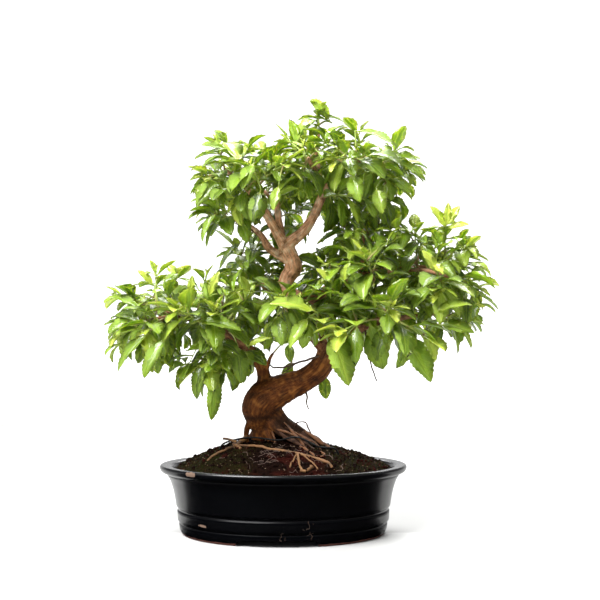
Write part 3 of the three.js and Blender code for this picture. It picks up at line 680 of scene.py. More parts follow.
def stamp(bm: BMesh, pattern: Mesh, matrix: Matrix | None = None) -> list[BMVert]:
    """Add a copy of a pattern to a shape.

    Args:
        bm: the shape that takes it.
        pattern: what is copied.
        matrix: what turns the copy to its place.

    Returns:
        The copy's corners.
    """
    before = len(bm.verts)
    bm.from_mesh(pattern)
    bm.verts.ensure_lookup_table()
    corners = bm.verts[before:]
    if matrix:
        for corner in corners:
            corner.co = matrix @ corner.co
    return corners


def join(bm: BMesh, part: BMesh) -> None:
    """Add a shape to another, and free it."""
    mesh = set_flat(part)
    stamp(bm, mesh)
    bpy.data.meshes.remove(mesh)


def rounded(corners: Sequence[tuple[float, float, float]], steps: int = 4) -> list[Vector]:
    """Round the corners of a profile.

    Args:
        corners: radius, height and rounding each.
        steps: how many stretches each round has.

    Returns:
        The profile's points, in the XZ plane.
    """
    spots = [Vector((radius, 0, height)) for radius, height, _ in corners]
    points = []
    for i, (_, _, rounding) in enumerate(corners):
        if not rounding or i in (0, len(corners) - 1):
            points.append(spots[i])
            continue
        before, after = spots[i - 1] - spots[i], spots[i + 1] - spots[i]
        reach = min(rounding, before.length * 0.49, after.length * 0.49)
        start, end = spots[i] + before.normalized() * reach, spots[i] + after.normalized() * reach
        for step in range(steps + 1):
            t = step / steps
            points.append((1 - t) ** 2 * start + 2 * t * (1 - t) * spots[i] + t * t * end)
    return points


def turned(profile: Sequence[Vector], steps: int, depth_share: float) -> BMesh:
    """Turn a profile about the upright axis and stretch it to an oval.

    Args:
        profile: points in the XZ plane, from the axis or back to its own start.
        steps: how many stretches the turn has.
        depth_share: the oval's depth as a share of its length.

    Returns:
        The closed shape.
    """
    bm = bmesh.new()
    corners = [bm.verts.new(point) for point in profile]
    edges = [bm.edges.new(pair) for pair in zip(corners, corners[1:])]
    bmesh.ops.spin(
        bm,
        geom=[*corners, *edges],
        cent=(0, 0, 0),
        axis=(0, 0, 1),
        angle=math.tau,
        steps=steps,
        use_merge=True,
    )
    bmesh.ops.remove_doubles(bm, verts=bm.verts, dist=1e-3)
    bmesh.ops.scale(bm, vec=(1, depth_share, 1), verts=bm.verts)
    bmesh.ops.recalc_face_normals(bm, faces=bm.faces)
    return bm


@dataclass
class Pot:
    """The oval pot: a turned profile with a rolled lip, two grooves and a foot with two notches."""

    length: float = 280.0
    width: float = 212.0
    height: float = 77.0
    floor: float = 15.0
    foot_recess: float = 8.0
    notch_width: float = 94.0
    notch_height: float = 7.0
    notch_middle: float = -5.0
    drain_radius: float = 9.0
    drain_offset: float = 55.0
    turn_steps: int = 200
    chips: tuple[Row, ...] = (
        (-101, -74.5, 74.5, 2.4), (-97, -76.5, 74.8, 2.8), (-93.5, -78.5, 74.2, 1.8), (-90, -61.5, 18.4, 1.2),
        (-88, -62.8, 18.3, 1.3), (-86, -64.1, 18.1, 1.3), (-84, -65.3, 18.0, 1.2), (-82, -66.4, 17.8, 0.9),
        (112, -31, 14, 1.0),
    )
    scratches: tuple[Row, ...] = ((-1, -90, 10.5, 5.0), (27, -89, 23, 5.0), (30, -88, 12, 4.0))

    @property
    def depth_share(self) -> float:
        """The oval's width as a share of its length."""
        return self.width / self.length

    def profile(self) -> list[Vector]:
        """Return the profile, from the foot up over the lip and down to the floor and back."""
        half, top = self.length / 2, self.height
        outside = [
            (105.0, 0.0, 0.0), (113.6, 0.0, 1.4), (117.2, 5.0, 3.5), (118.0, 11.6, 0.8), (117.2, 12.8, 0.7),
            (118.2, 14.2, 0.8), (119.8, 15.8, 1.2), (120.3, 25.8, 0.7), (118.6, 27.4, 0.8),
            (119.0, 29.2, 0.8), (121.2, 31.0, 1.2), (122.2, 37.0, 3.0), (124.4, 49.0, 8.0),
            (128.4, 60.5, 6.0), (131.6, 65.6, 0.8), (131.2, 67.0, 0.5), (133.2, 67.6, 0.7),
            (138.0, 69.6, 2.6),
            (half, 72.4, 2.0),
            (half, top - 1.6, 1.6),
            (half - 1.6, top, 1.4),
        ]
        inside = [
            (half - 11.5, top - 0.7, 3.0),
            (126.0, top - 2.0, 1.6),
            (123.2, 69.0, 2.0), (114.0, 40.0, 8.0),
            (106.0, self.floor, 4.0),
            (0.0, self.floor, 0.0),
        ]
        underside = [(0.0, self.foot_recess, 0.0), (103.0, self.foot_recess, 1.0), (105.0, 0.0, 0.0)]
        return [*rounded([*outside, *inside]), *rounded(underside)]

    def cutters(self) -> BMesh:
        """Return what is cut away: a notch in the foot at the front and back, and the drain holes."""
        bm = bmesh.new()
        for side in (-1, 1):
            y = side * self.width / 2
            block = bmesh.ops.create_cube(bm, size=1)["verts"]
            for corner in block:
                upper = corner.co.z > 0
                wide = self.notch_width / 2 - (self.notch_height if upper else 0)
                corner.co.x = self.notch_middle + math.copysign(wide, corner.co.x)
                corner.co.y = y + math.copysign(36, corner.co.y)
                corner.co.z = self.notch_height if upper else -3
            place = Matrix.Translation((side * self.drain_offset, 0, self.floor - 3))
            bmesh.ops.create_cone(
                bm,
                cap_ends=True,
                segments=48,
                radius1=self.drain_radius,
                radius2=self.drain_radius,
                depth=20,
                matrix=place,
            )
        bmesh.ops.recalc_face_normals(bm, faces=bm.faces)
        return bm

    def build(self, model: Model) -> Object:
        """Make the pot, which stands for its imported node."""
        cutter = bpy.data.objects.new("cutter", set_flat(self.cutters()))
        bpy.context.scene.collection.objects.link(cutter)
        body = turned(self.profile(), self.turn_steps, self.depth_share)
        cut = evaluated(body, ("BOOLEAN", {"operation": "DIFFERENCE", "object": cutter, "solver": "EXACT"}))
        bpy.data.objects.remove(cutter)
        glaze = GlazedStoneware(
            "glazed_stoneware",
            chips=tuple((model.place(*chip[:3]), chip[3]) for chip in self.chips),
            scratches=tuple((model.place(*mark[:3]), mark[3]) for mark in self.scratches),
        )
        return model.piece(cut, "glazed_pot", Slot.GLAZE, [glaze], ["pot"])


@dataclass
class Soil:
    """The soil: it fills the pot to just under its lip and rises to a mossy mound round the trunk."""

    pot: Pot
    at_rim: float = 72.0
    mound_height: float = 32.0
    mound_x: float = -15.0
    mound_y: float = 5.0
    reach: float = 123.0
    gap: float = 0.4
    rings: int = 46
    turn_steps: int = 190
    crumbs: int = 2600
    grit_share: float = 0.16
    tufts: int = 8000

    def share(self, x: float, y: float) -> float:
        """Return how far out a place lies: 0 at the mound's top and 1 at the rim."""
        share = 0.0
        for _ in range(12):
            left = (x - self.mound_x * (1 - share)) / self.reach
            front = (y - self.mound_y * (1 - share)) / (self.reach * self.pot.depth_share)
            share = min(1.0, math.hypot(left, front))
        return share

    def height(self, x: float, y: float) -> float:
        """Return the mound's height before its crumbs."""
        return self.at_rim + self.mound_height * (1 - self.share(x, y) ** 2)

    def rough_height(self, x: float, y: float) -> float:
        """Return the mound's height with its lumps."""
        lumps = noise.noise(Vector((x / 17, y / 17, 0.3))) * 1.7
        lumps += noise.noise(Vector((x / 6, y / 6, 4.1))) * 1.1
        fade = min(1.0, (1 - self.share(x, y)) * 12)
        return self.height(x, y) + (lumps + noise.noise(Vector((x / 2.6, y / 2.6, 9.2))) * 0.6) * fade

    def mossiness(self, x: float, y: float) -> float:
        """Return how mossy a place is, from 0 to 1: most at the mound's sides, and none at its front."""
        cloud = noise.noise(Vector((x / 24, y / 24, 7.7))) * 0.9
        cloud += noise.noise(Vector((x / 7, y / 7, 2.2))) * 0.35
        sides = min(1.0, abs(x - 5) / 75)
        front = max(0.0, 1 - math.hypot((x - 8) / 52, (y + 75) / 46))
        return max(0.0, min(1.0, 0.5 * (cloud + 0.25) + sides * 0.75 - front * 1.6))

    def build(self, model: Model) -> list[Object]:
        """Make the soil, its crumbs and its moss."""
        floor = self.pot.floor + self.gap
        rim = self.reach + 0.4
        side = ((0, floor), (105.4, floor), (113.6, 40), (122.8, 69))
        profile = [Vector((across, 0, up)) for across, up in side]
        profile += [Vector((rim * (1 - k / self.rings), 0, self.at_rim)) for k in range(self.rings + 1)]
        bm = turned(profile, self.turn_steps, self.pot.depth_share - 0.0015)
        mossy = bm.verts.layers.float.new("mossy")
        for corner in bm.verts:
            if corner.co.z > self.at_rim - 0.01:
                corner[mossy] = self.mossiness(corner.co.x, corner.co.y)
                corner.co.z = self.rough_height(corner.co.x, corner.co.y)
        finish = PottingSoil("potting_soil")
        grit = PottingSoil("soil_grit", peat="#3a2c20", humus="#8a7660", red="#5c4030")
        return [
            model.piece(bm, "mound", Slot.SOIL, [finish], ["soil"]),
            model.piece(self.scatter(), "soil_crumbs", Slot.SOIL, [finish, grit]),
            model.piece(self.tufted(), "moss", Slot.SOIL, [Moss("cushion_moss")]),
        ]

    def spot(self, draw: random.Random) -> tuple[float, float]:
        """Draw a place on the soil."""
        angle = draw.random() * math.tau
        far = math.sqrt(draw.random()) * (self.reach - 3)
        return far * math.cos(angle), far * math.sin(angle) * self.pot.depth_share

    def scatter(self) -> BMesh:
        """Return crumbs of soil and grit that lie half sunk in the mound."""
        draw = random.Random(11)
        seed = bmesh.new()
        bmesh.ops.create_icosphere(seed, subdivisions=1, radius=1)
        pattern = set_flat(seed)
        bm = bmesh.new()
        for _ in range(self.crumbs):
            x, y = self.spot(draw)
            size = 0.7 + 1.9 * draw.random() ** 3
            turn = Matrix.Rotation(draw.random() * math.tau, 4, Vector((draw.random(), draw.random(), 0.5)))
            stretch = Matrix.Diagonal((size * 1.3, size * (0.6 + 0.4 * draw.random()), size * 0.8, 1))
            set_in = Matrix.Translation((x, y, self.rough_height(x, y) + size * 0.15))
            corners = stamp(bm, pattern, set_in @ turn @ stretch)
            if size < 1.2 and draw.random() < self.grit_share:
                for face in {face for corner in corners for face in corner.link_faces}:
                    face.material_index = 1
        return bm

    def tufted(self) -> BMesh:
        """Return tufts of moss, each a slim three-sided spire."""
        draw = random.Random(12)
        seed = bmesh.new()
        bmesh.ops.create_cone(seed, cap_ends=True, segments=3, radius1=1, radius2=0.15, depth=1)
        pattern = set_flat(seed)
        bm = bmesh.new()
        for _ in range(self.tufts):
            x, y = self.spot(draw)
            if draw.random() * 0.8 + 0.1 > self.mossiness(x, y):
                continue
            tall = 0.9 + 1.7 * draw.random()
            way = Vector((draw.gauss(0, 0.4), draw.gauss(0, 0.4), 1))
            lean = way.to_track_quat("Z", "Y").to_matrix().to_4x4()
            size = Matrix.Diagonal((0.55, 0.55, tall, 1))
            set_in = Matrix.Translation((x, y, self.rough_height(x, y) + tall * 0.3))
            stamp(bm, pattern, set_in @ lean @ size)
        return bm


TRUNK: tuple[Row, ...] = (
    (-25, 5, 74, 14), (-25, 4, 98, 11.5), (-26, 3, 117, 11), (-28, 0, 136, 20), (-21, -2, 150, 22),
    (-2, -4, 161, 17.5), (22, -6, 171, 13.6), (41, -6, 185, 13.2), (51, -4, 205, 11.5), (50, 2, 226, 10.2),
    (37, 8, 247, 9.6), (20, 12, 262, 9.4), (4, 12, 275, 9.4), (4, 10, 289, 9), (11, 8, 301, 10.4),
    (8, 6, 315, 9.2), (1, 5, 328, 8),
)

BRANCHES: dict[str, tuple[Row, ...]] = {
    "left_arm": (
        (-21, -2, 150, 9), (-24, -2, 184, 7.6), (-39, -2, 206, 6.4), (-62, -4, 221, 5.2),
        (-90, -5, 236, 4.2), (-120, -6, 246, 3.2), (-146, -6, 252, 2.4),
    ),
    "left_front": ((-50, -3, 214, 4), (-66, -30, 224, 3), (-86, -54, 232, 2.2)),
    "left_back": ((-62, -4, 221, 4), (-76, 28, 234, 3), (-97, 52, 246, 2.2)),
    "left_outer_front": ((-98, -5, 239, 3.2), (-120, -28, 243, 2.6), (-138, -44, 241, 2)),
    "left_outer_back": ((-108, -6, 243, 3), (-128, 22, 252, 2.4), (-146, 34, 256, 2)),
    "elbow_stub": ((6, 12, 274, 7.5), (-12, 12, 279, 7), (-25, 13, 284, 6)),
    "elbow_twig": ((-12, 12, 279, 4), (-30, 32, 290, 3), (-44, 46, 304, 2.2)),
    "crown_lower_left": (
        (4, 8, 311, 6), (-17, 12, 324, 4.8), (-27, 14, 340, 4), (-46, 16, 354, 3), (-64, 12, 360, 2.2),
    ),
    "crown_left": (
        (1, 5, 326, 7.4), (-8, 4, 342, 6), (-17, 2, 358, 5.2), (-31, 0, 380, 4.2), (-50, -3, 400, 3.2),
        (-68, -5, 414, 2.2),
    ),
    "crown_middle": (
        (-2, 6, 328, 6), (-4, 10, 346, 4.6), (-7, 13, 366, 4), (-8, 16, 392, 3.2), (-4, 20, 420, 2.2),
    ),
    "crown_right": (
        (1, 5, 325, 7.8), (12, 2, 334, 7), (24, 0, 344, 6.4), (36, -2, 363, 5.6), (45, -3, 385, 5),
        (55, -2, 403, 4.2), (74, 0, 420, 3.2), (98, 2, 430, 2.2),
    ),
    "crown_apex": ((45, -3, 385, 4.6), (40, -4, 412, 3.6), (38, -3, 438, 2.8), (41, 0, 458, 2)),
    "crown_front_left": ((-27, 0, 374, 3.6), (-28, -28, 390, 2.8), (-32, -50, 398, 2)),
    "crown_front_right": ((42, -4, 404, 3.6), (32, -32, 414, 2.8), (28, -54, 418, 2)),
    "crown_back_left": ((-7, 14, 375, 3.4), (-20, 38, 392, 2.6), (-26, 58, 402, 2)),
    "crown_back_right": ((55, -2, 403, 3.6), (60, 30, 418, 2.8), (68, 54, 424, 2)),
    "crown_right_front": ((74, 0, 420, 3), (86, -28, 420, 2.4), (96, -44, 414, 2)),
    "right_arm": (
        (22, 12, 260, 7), (36, 9, 266, 6), (60, 2, 282, 5.2), (92, -2, 291, 4.6), (126, -4, 297, 3.8),
        (160, -5, 301, 3), (186, -5, 300, 2.2),
    ),
    "right_riser": ((90, -2, 290, 3.4), (91, 2, 320, 2.8), (92, 4, 346, 2.2)),
    "right_back": ((98, -3, 292, 3.8), (118, 32, 304, 3), (140, 58, 312, 2.2)),
    "right_front": ((72, 0, 285, 3.6), (86, -34, 286, 2.8), (100, -60, 282, 2.2)),
    "right_outer_back": ((138, -4, 299, 3.2), (158, 26, 314, 2.6), (174, 42, 326, 2)),
    "right_outer_front": ((142, -4, 299, 3.2), (162, -34, 294, 2.6), (182, -50, 286, 2)),
    "low_arm": (
        (51, -4, 206, 7), (76, -15, 224, 5), (106, -24, 237, 4), (140, -30, 243, 3), (168, -30, 246, 2.2)
    ),
    "low_front": ((92, -20, 231, 3.4), (104, -50, 240, 2.6), (112, -74, 242, 2)),
    "low_back": ((76, -15, 224, 4), (96, 20, 238, 3), (116, 46, 248, 2.2)),
    "middle_front": ((50, -5, 200, 5), (29, -14, 223, 3.8), (12, -28, 242, 3), (4, -44, 256, 2.2)),
    "cut_twig": ((-20, -4, 182, 3), (-15, -9, 197, 2.2), (-11, -11, 203, 2)),
}

BARE_TWIGS: dict[str, tuple[Row, ...]] = {
    "long": (
        (50, -8, 204, 1.8), (41, -14, 199, 1.4), (24, -13, 194, 1.2), (5, -12, 188, 1.1), (-9, -11, 186, 1.0),
        (-16, -10, 190, 0.8),
    ),
    "fork": ((14, -12.5, 190.5, 0.8), (6, -14, 184, 0.7), (-2, -15, 180, 0.6)),
    "crown": ((-27, 14, 340, 1.4), (-40, 12, 347, 1.0), (-56, 10, 353, 0.6)),
    "under": ((26, -8, 162, 1.4), (27, -10, 152, 1.0), (26, -10, 146, 0.8), (29, -11, 139, 0.7)),
    "right": ((92, -20, 232, 1.4), (95, -34, 206, 0.9), (98, -38, 188, 0.8), (104, -40, 172, 0.7)),
    "left_inner": ((-52, -4, 214, 1.4), (-60, -34, 226, 1.0), (-66, -52, 250, 0.8), (-64, -58, 268, 0.6)),
}

ROOTS: dict[str, tuple[Row, ...]] = {
    "buttress": ((-14, 0, 136, 11), (0, 2, 122, 9.5), (18, 5, 109, 8.5), (37, 6, 99, 7), (54, 8, 86, 5)),
    "buttress_front": (
        (-14, -5, 124, 8), (0, -13, 112, 5), (16, -19, 103, 4), (32, -25, 95, 3.4), (46, -29, 84, 3)
    ),
    "buttress_back": ((-12, 8, 124, 9), (4, 20, 108, 7), (18, 31, 96, 5), (32, 44, 82, 4)),
    "left_prop": ((-37, 0, 127, 4), (-42, -4, 114, 3.2), (-42, -6, 92, 3.4)),
    "back_left": ((-28, 12, 112, 7), (-40, 28, 100, 6), (-58, 42, 84, 4)),
    "back_middle": ((-14, 10, 118, 8), (2, 15, 104, 7), (16, 18, 90, 6)),
    "front_foot": ((-20, -2, 116, 6), (-14, -12, 104, 4.5), (-11, -22, 92, 3.6)),
}


@dataclass
class Wood:
    """The trunk, its limbs and its buttress roots, grown into one body of furrowed bark."""

    voxel: float = 1.35
    samples: list[tuple[Vector, Vector, Vector, float, float]] = field(default_factory=list)

    def limbs(self) -> Iterable[tuple[tuple[Row, ...], int, int]]:
        """Yield each limb's rows, and how many steps and sides it gets."""
        yield TRUNK, 90, 28
        for rows in ROOTS.values():
            yield rows, 24, 16
        for rows in BRANCHES.values():
            yield rows, 7 * (len(rows) - 1), 12

    def build(self, model: Model) -> list[Object]:
        """Join the limbs, smooth their forks, raise the bark, and add the bare twigs."""
        bm = bmesh.new()
        for rows, steps, sides in self.limbs():
            line, radii = smooth_line(rows, steps)
            join(bm, tube(line, radii, sides))
            self.remember(line, radii)
        joined = evaluated(
            bm, ("REMESH", {"mode": "VOXEL", "voxel_size": self.voxel, "use_smooth_shade": True})
        )
        for _ in range(3):
            bmesh.ops.smooth_vert(
                joined, verts=joined.verts, factor=0.5, use_axis_x=True, use_axis_y=True, use_axis_z=True
            )
        self.raise_bark(joined)
        twigs = bmesh.new()
        for rows in BARE_TWIGS.values():
            line, radii = smooth_line(rows, 6 * (len(rows) - 1))
            join(twigs, tube([spot + noise.noise_vector(spot / 6) for spot in line], radii, 7))
        dark = RootSkin("twig_skin", skin="#5d4632", shade="#33241a", earth="#1b120c")
        return [
            model.piece(joined, "barked_wood", Slot.BARK, [Bark("living_bark")], ["trunk"]),
            model.piece(twigs, "bare_twigs", Slot.BARK, [dark], ["trunk"]),
        ]

    def remember(self, line: list[Vector], radii: list[float]) -> None:
        """Keep a limb's centre line, with the directions and the length that its grain follows."""
        forward = directions(line)
        side = forward[0].orthogonal().normalized()
        length = 0.0
        for i, spot in enumerate(line):
            if i:
                length += (spot - line[i - 1]).length
                side = (forward[i - 1].rotation_difference(forward[i]) @ side).normalized()
            self.samples.append((spot, forward[i], side, radii[i], length))

    def raise_bark(self, bm: BMesh) -> None:
        """Raise furrows, wrinkles and lumps in the bark, and note its grain, its age and its painted shade at
        each corner.
        """
        tree = kdtree.KDTree(len(self.samples))
        for i, sample in enumerate(self.samples):
            tree.insert(sample[0], i)
        tree.balance()
        grain = bm.verts.layers.float_vector.new("grain")
        relief = bm.verts.layers.float.new("relief")
        age = bm.verts.layers.float.new("age")
        painted_shade = bm.verts.layers.float.new("painted_shade")
        bm.normal_update()
        moves = []
        for corner in bm.verts:
            at = corner.co
            near = [(far - self.samples[i][3], i) for _, i, far in tree.find_n(at, 4)]
            spot, forward, side, radius, length = self.samples[min(near)[1]]
            off = at - spot
            along = length + off.dot(forward)
            local = Vector((off.dot(side), off.dot(forward.cross(side)), along / 6))
            thick = min(1.0, radius / 14)
            low = max(0.0, min(1.0, (300 - at.z) / 110))
            fibre = noise.noise(local / 2.4) * 0.6 + noise.noise(local / 1.2) * 0.4
            folds = noise.noise(Vector((local.x / 14, local.y / 14, along / 4.2))) * 0.55
            lumps = noise.noise(at / 11) * 1.1 + noise.noise(at / 5) * 0.45
            lift = thick * (fibre * 0.5 + folds * 0.8 + lumps * 0.8)
            lift += (1 - thick) * (fibre * 0.2 + lumps * 0.3)
            corner[grain] = local * MM
            corner[relief] = max(0.0, min(1.0, 0.5 + (fibre * 0.9 + folds * 0.8 + lumps * 0.3) * 0.7))
            corner[age] = low
            # Painted shade: the wood right of the trunk's foot and below its bulge, and a band all round just
            # under the bulge, where shade falls.
            shaded = max(0.0, min(1.0, (at.x + 16) / 8)) * max(0.0, min(1.0, (142 - at.z) / 16))
            corner[painted_shade] = max(shaded, 0.85 * (1 - abs(at.z - 129) / 5))
            moves.append((corner, corner.normal * lift))
        for corner, move in moves:
            corner.co += move


@dataclass
class LooseRoots:
    """Roots in the open: a long pale one at the front, forks, strands over the buttress and fine hairs."""

    soil: Soil
    strands: int = 34
    hairs: int = 34

    def on_soil(self, path: Sequence[tuple[float, float]], radius: float, lift: float = 0.6) -> list[Row]:
        """Return rows that lie on the mound along a path."""
        return [(x, y, self.soil.height(x, y) + radius * lift + 0.6, radius) for x, y in path]

    def main_roots(self) -> list[list[Row]]:
        """Return the thick pale roots, each with its end sunk in the soil."""
        across = [(-52, -20), (-32, -31), (-14, -42), (4, -48), (20, -52), (40, -59), (52, -66)]
        long_root = [(-41, -5, 108, 2.2), *self.on_soil(across, 1.45), (60, -70, 66, 0.7)]
        aside = [(-52, -21), (-64, -28), (-78, -36)]
        left_root = [(-41, -5, 106, 2.0), *self.on_soil(aside, 1.5), (-93, -47, 70, 0.9)]
        legs = [
            self.on_soil([(16, -53), (13, -62), (10, -71), (8, -78)], 0.9),
            self.on_soil([(17, -53), (18, -63), (19, -74), (22, -82)], 1.3),
            self.on_soil([(19, -82), (25, -82), (29, -79), (31, -75)], 2.2),
            self.on_soil([(23, -54), (28, -62), (35, -69), (38, -76)], 0.8),
            self.on_soil([(-56, -14), (-51, -24), (-47, -34)], 1.7),
            [(-52, -20, 103, 1.7), (-60, -19, 106, 1.5), (-68, -17, 107, 1.0)],
        ]
        return [long_root, left_root, *legs]

    def crossings(self) -> list[list[Row]]:
        """Return thin roots that cross the buttress and the hollow under it."""
        return [
            [
                (-13, -11, 118, 0.7), (-1, -19, 115.5, 1.3), (8, -22, 112.5, 1.3),
                (17, -24, 108, 1.2), (24, -28, 100, 1.0),
            ],
            [
                (1, -8, 124, 0.8), (7, -16, 118, 1.3), (13, -21, 111, 1.5),
                (20, -25, 104, 1.4), (28, -32, 92, 1.0),
            ],
            [
                (13, -12, 113, 0.8), (20, -19, 110, 1.2), (29, -23, 106, 1.2),
                (38, -26, 101, 1.2), (46, -30, 88, 1.0),
            ],
            [
                (24, -2, 114, 1.4), (35, -7, 107, 2.0), (43, -11, 101, 2.2),
                (51, -15, 97, 1.8), (58, -19, 86, 1.4),
            ],
            [(-13, -12, 114, 0.8), (-9.5, -17, 106, 1.2), (-7.5, -21, 98, 1.2), (-6, -24, 86, 1.0)],
            self.on_soil([(19, -32), (24, -37), (29, -43), (35, -52)], 1.2),
            self.on_soil([(42, -38), (46, -43), (44, -48), (41, -52)], 1.0),
        ]

    def strand_rows(self, draw: random.Random) -> list[list[Row]]:
        """Return strands that run down over the buttress and the trunk's foot into the soil."""
        rows = []
        for _ in range(self.strands):
            lead = ROOTS[draw.choice(("buttress", "buttress_front", "buttress", "front_foot"))]
            turn = draw.uniform(-2.0, 0.1)
            size = 0.45 + 0.8 * draw.random() ** 2
            strand: list[Row] = []
            for (x, y, z, radius), share in zip(lead, (0.25, 0.8, 1, 1, 1)):
                turn += draw.gauss(0, 0.22)
                out = radius * share + size * 0.35
                away = (x + 0.35 * out * math.sin(turn), y + out * math.sin(turn), z + out * math.cos(turn))
                strand.append((*away, size * (0.5 + 0.5 * share)))
            x, y, _, _ = strand[-1]
            strand.append((x + 9, y - 7, self.soil.height(x + 9, y - 7) - 4, size * 0.6))
            rows.append(strand)
        return rows

    def hair_rows(self, draw: random.Random) -> list[list[Row]]:
        """Return fine hairs that lie on the soil, most of them at the front."""
        rows = []
        for _ in range(self.hairs):
            x, y = draw.gauss(4, 36), draw.gauss(-58, 16)
            if self.soil.share(x, y) > 0.93:
                continue
            heading, size = draw.random() * math.tau, draw.uniform(0.16, 0.3)
            hair: list[Row] = []
            for _ in range(draw.randint(4, 9)):
                lift = abs(draw.gauss(0, 1.0)) if hair else -2.0
                hair.append((x, y, self.soil.rough_height(x, y) + size + lift, size))
                heading += draw.gauss(0, 0.35)
                x += math.cos(heading) * 3.4
                y += math.sin(heading) * 3.4
            if all(self.soil.share(row[0], row[1]) < 0.97 for row in hair):
                rows.append(hair)
        return rows

    def build(self, model: Model) -> list[Object]:
        """Make the roots, the strands and the hairs."""
        thick = bmesh.new()
        for rows in self.main_roots():
            line, radii = smooth_line(rows, 9 * (len(rows) - 1))
            wander = [noise.noise_vector(spot / 9) * 1.1 for spot in line]
            knobs = [radius * (1 + 0.4 * noise.noise(spot / 4.5)) for spot, radius in zip(line, radii)]
            join(thick, tube([spot + move for spot, move in zip(line, wander)], knobs, 10))
        fine = bmesh.new()
        draw = random.Random(21)
        arch = [
            (11, -2, 118, 0.9), (17, -4, 124, 0.9), (25, -5, 123, 0.8), (29, -4, 116, 0.8), (32, -2, 108, 0.7)
        ]
        paler = self.crossings()
        for k, rows in enumerate([*paler, arch, *self.strand_rows(draw)]):
            line, radii = smooth_line(rows, 6 * (len(rows) - 1))
            wander = [noise.noise_vector(spot / 7) * 1.2 for spot in line]
            knobs = [radius * (1 + 0.5 * noise.noise(spot / 4)) for spot, radius in zip(line, radii)]
            strand = tube([spot + move for spot, move in zip(line, wander)], knobs, 7)
            for face in strand.faces:
                face.material_index = 0 if k < len(paler) else 1
            join(fine, strand)
        threads = bmesh.new()
        for rows in self.hair_rows(draw):
            line, radii = smooth_line(rows, 2 * (len(rows) - 1))
            join(threads, tube(line, radii, 4))
        pale = RootSkin("root_skin", skin="#8f673c", shade="#583820", earth="#2b1a0d")
        brown = RootSkin("strand_skin", skin="#84552f", shade="#4a2913", earth="#180c06")
        dark = RootSkin("old_strand_skin", skin="#60391f", shade="#301a0d", earth="#120905")
        white = RootSkin("hair_skin", skin="#7c685d", shade="#4d362e", earth="#2c1d18")
        return [
            model.piece(thick, "pale_roots", Slot.BARK, [pale], ["trunk"]),
            model.piece(fine, "root_strands", Slot.BARK, [brown, dark], ["trunk"]),
            model.piece(threads, "root_hairs", Slot.BARK, [white]),
        ]


@dataclass
class TieWire:
    """The thin black wire over the foot of the trunk, with both ends pushed into the soil."""

    radius: float = 1.0
    route: tuple[tuple[float, float, float], ...] = (
        (-70, -14, 84), (-69, -15, 99), (-52, -20, 106), (-32, -25, 108.5), (-6, -29, 106),
        (16, -28, 109), (40, -32, 99), (58, -32, 96.5), (64, -31, 82),
    )

    def build(self, model: Model) -> Object:
        """Make the wire along its route."""
        line, radii = smooth_line([(*spot, self.radius) for spot in self.route], 64)
        wire = tube(line, radii, 10)
        return model.piece(wire, "coated_tie_wire", Slot.WIRE, [CoatedWire("coated_wire")], ["tie_wire"])


UNDER = 4.0
BLADE_ROWS = (0.0, 0.1, 0.24, 0.4, 0.55, 0.62, 0.7, 0.77, 0.87, 1.0)
BLADE_SHARES = (0.09, 0.09, 0.5, 0.86, 1.0, 0.86, 0.88, 0.64, 0.52, 0.0)
STALK_END = 0.1
FINE_STEPS = 24


def fine_outline() -> tuple[tuple[float, ...], tuple[float, ...]]:
    """Return a large leaf's rows and its half widths there, with a tooth at every second row."""
    rows, shares = [0.0, STALK_END], [0.07, 0.07]
    for step in range(1, FINE_STEPS + 1):
        blade = step / FINE_STEPS
        notch = 0.13 if step % 2 and blade > 0.3 else 0.0
        rows.append(STALK_END + (1 - STALK_END) * (blade - 0.4 * notch / FINE_STEPS))
        shares.append(max(0.07, math.sin(math.pi * blade**0.92) ** 0.75 * (1 - notch)) if blade < 1 else 0.0)
    return tuple(rows), tuple(shares)


@dataclass
class Blade:
    """One leaf's set, in millimetres: where it starts, bends and ends, how wide and folded it is, and its
    tone: lighter when young, and darker as painted shade in the back and lower clumps.
    """

    root: Vector
    middle: Vector
    tip: Vector
    across: Vector
    across_tip: Vector
    half_width: float
    fold: float
    tone: float
    ripple: float = 0.0
    wave: float = 0.055

    def spots(self, along: np.ndarray, aside: np.ndarray, wide: np.ndarray, depth: np.ndarray) -> np.ndarray:
        """Return the leaf's surface at places on its pattern.

        Args:
            along: from 0 at the stalk to 1 at the tip.
            aside: from -1 to 1 across the blade.
            wide: the blade's half width there, as a share of the widest.
            depth: how far under its upper face, in millimetres.

        Returns:
            A row of three coordinates for each place.
        """
        root, middle, tip = (np.array(spot) for spot in (self.root, self.middle, self.tip))
        control = 2 * middle - (root + tip) / 2
        u, rest = along[:, None], 1 - along[:, None]
        line = rest**2 * root + 2 * rest * u * control + u**2 * tip
        forward = rest * (control - root) + u * (tip - control)
        forward /= np.linalg.norm(forward, axis=1)[:, None]
        across = rest * np.array(self.across) + u * np.array(self.across_tip)
        across -= forward * np.sum(across * forward, axis=1)[:, None]
        across /= np.linalg.norm(across, axis=1)[:, None]
        face = np.cross(forward, across)
        side = aside * wide * self.half_width
        lift = np.abs(aside) ** 1.5 * wide * self.half_width * math.sin(self.fold)
        waves = np.sin(along * 17 + self.ripple * (1 + np.sign(aside)))
        lift += aside**2 * wide * waves * self.wave * self.half_width
        return line + across * (side * math.cos(self.fold))[:, None] + face * (lift - depth)[:, None]


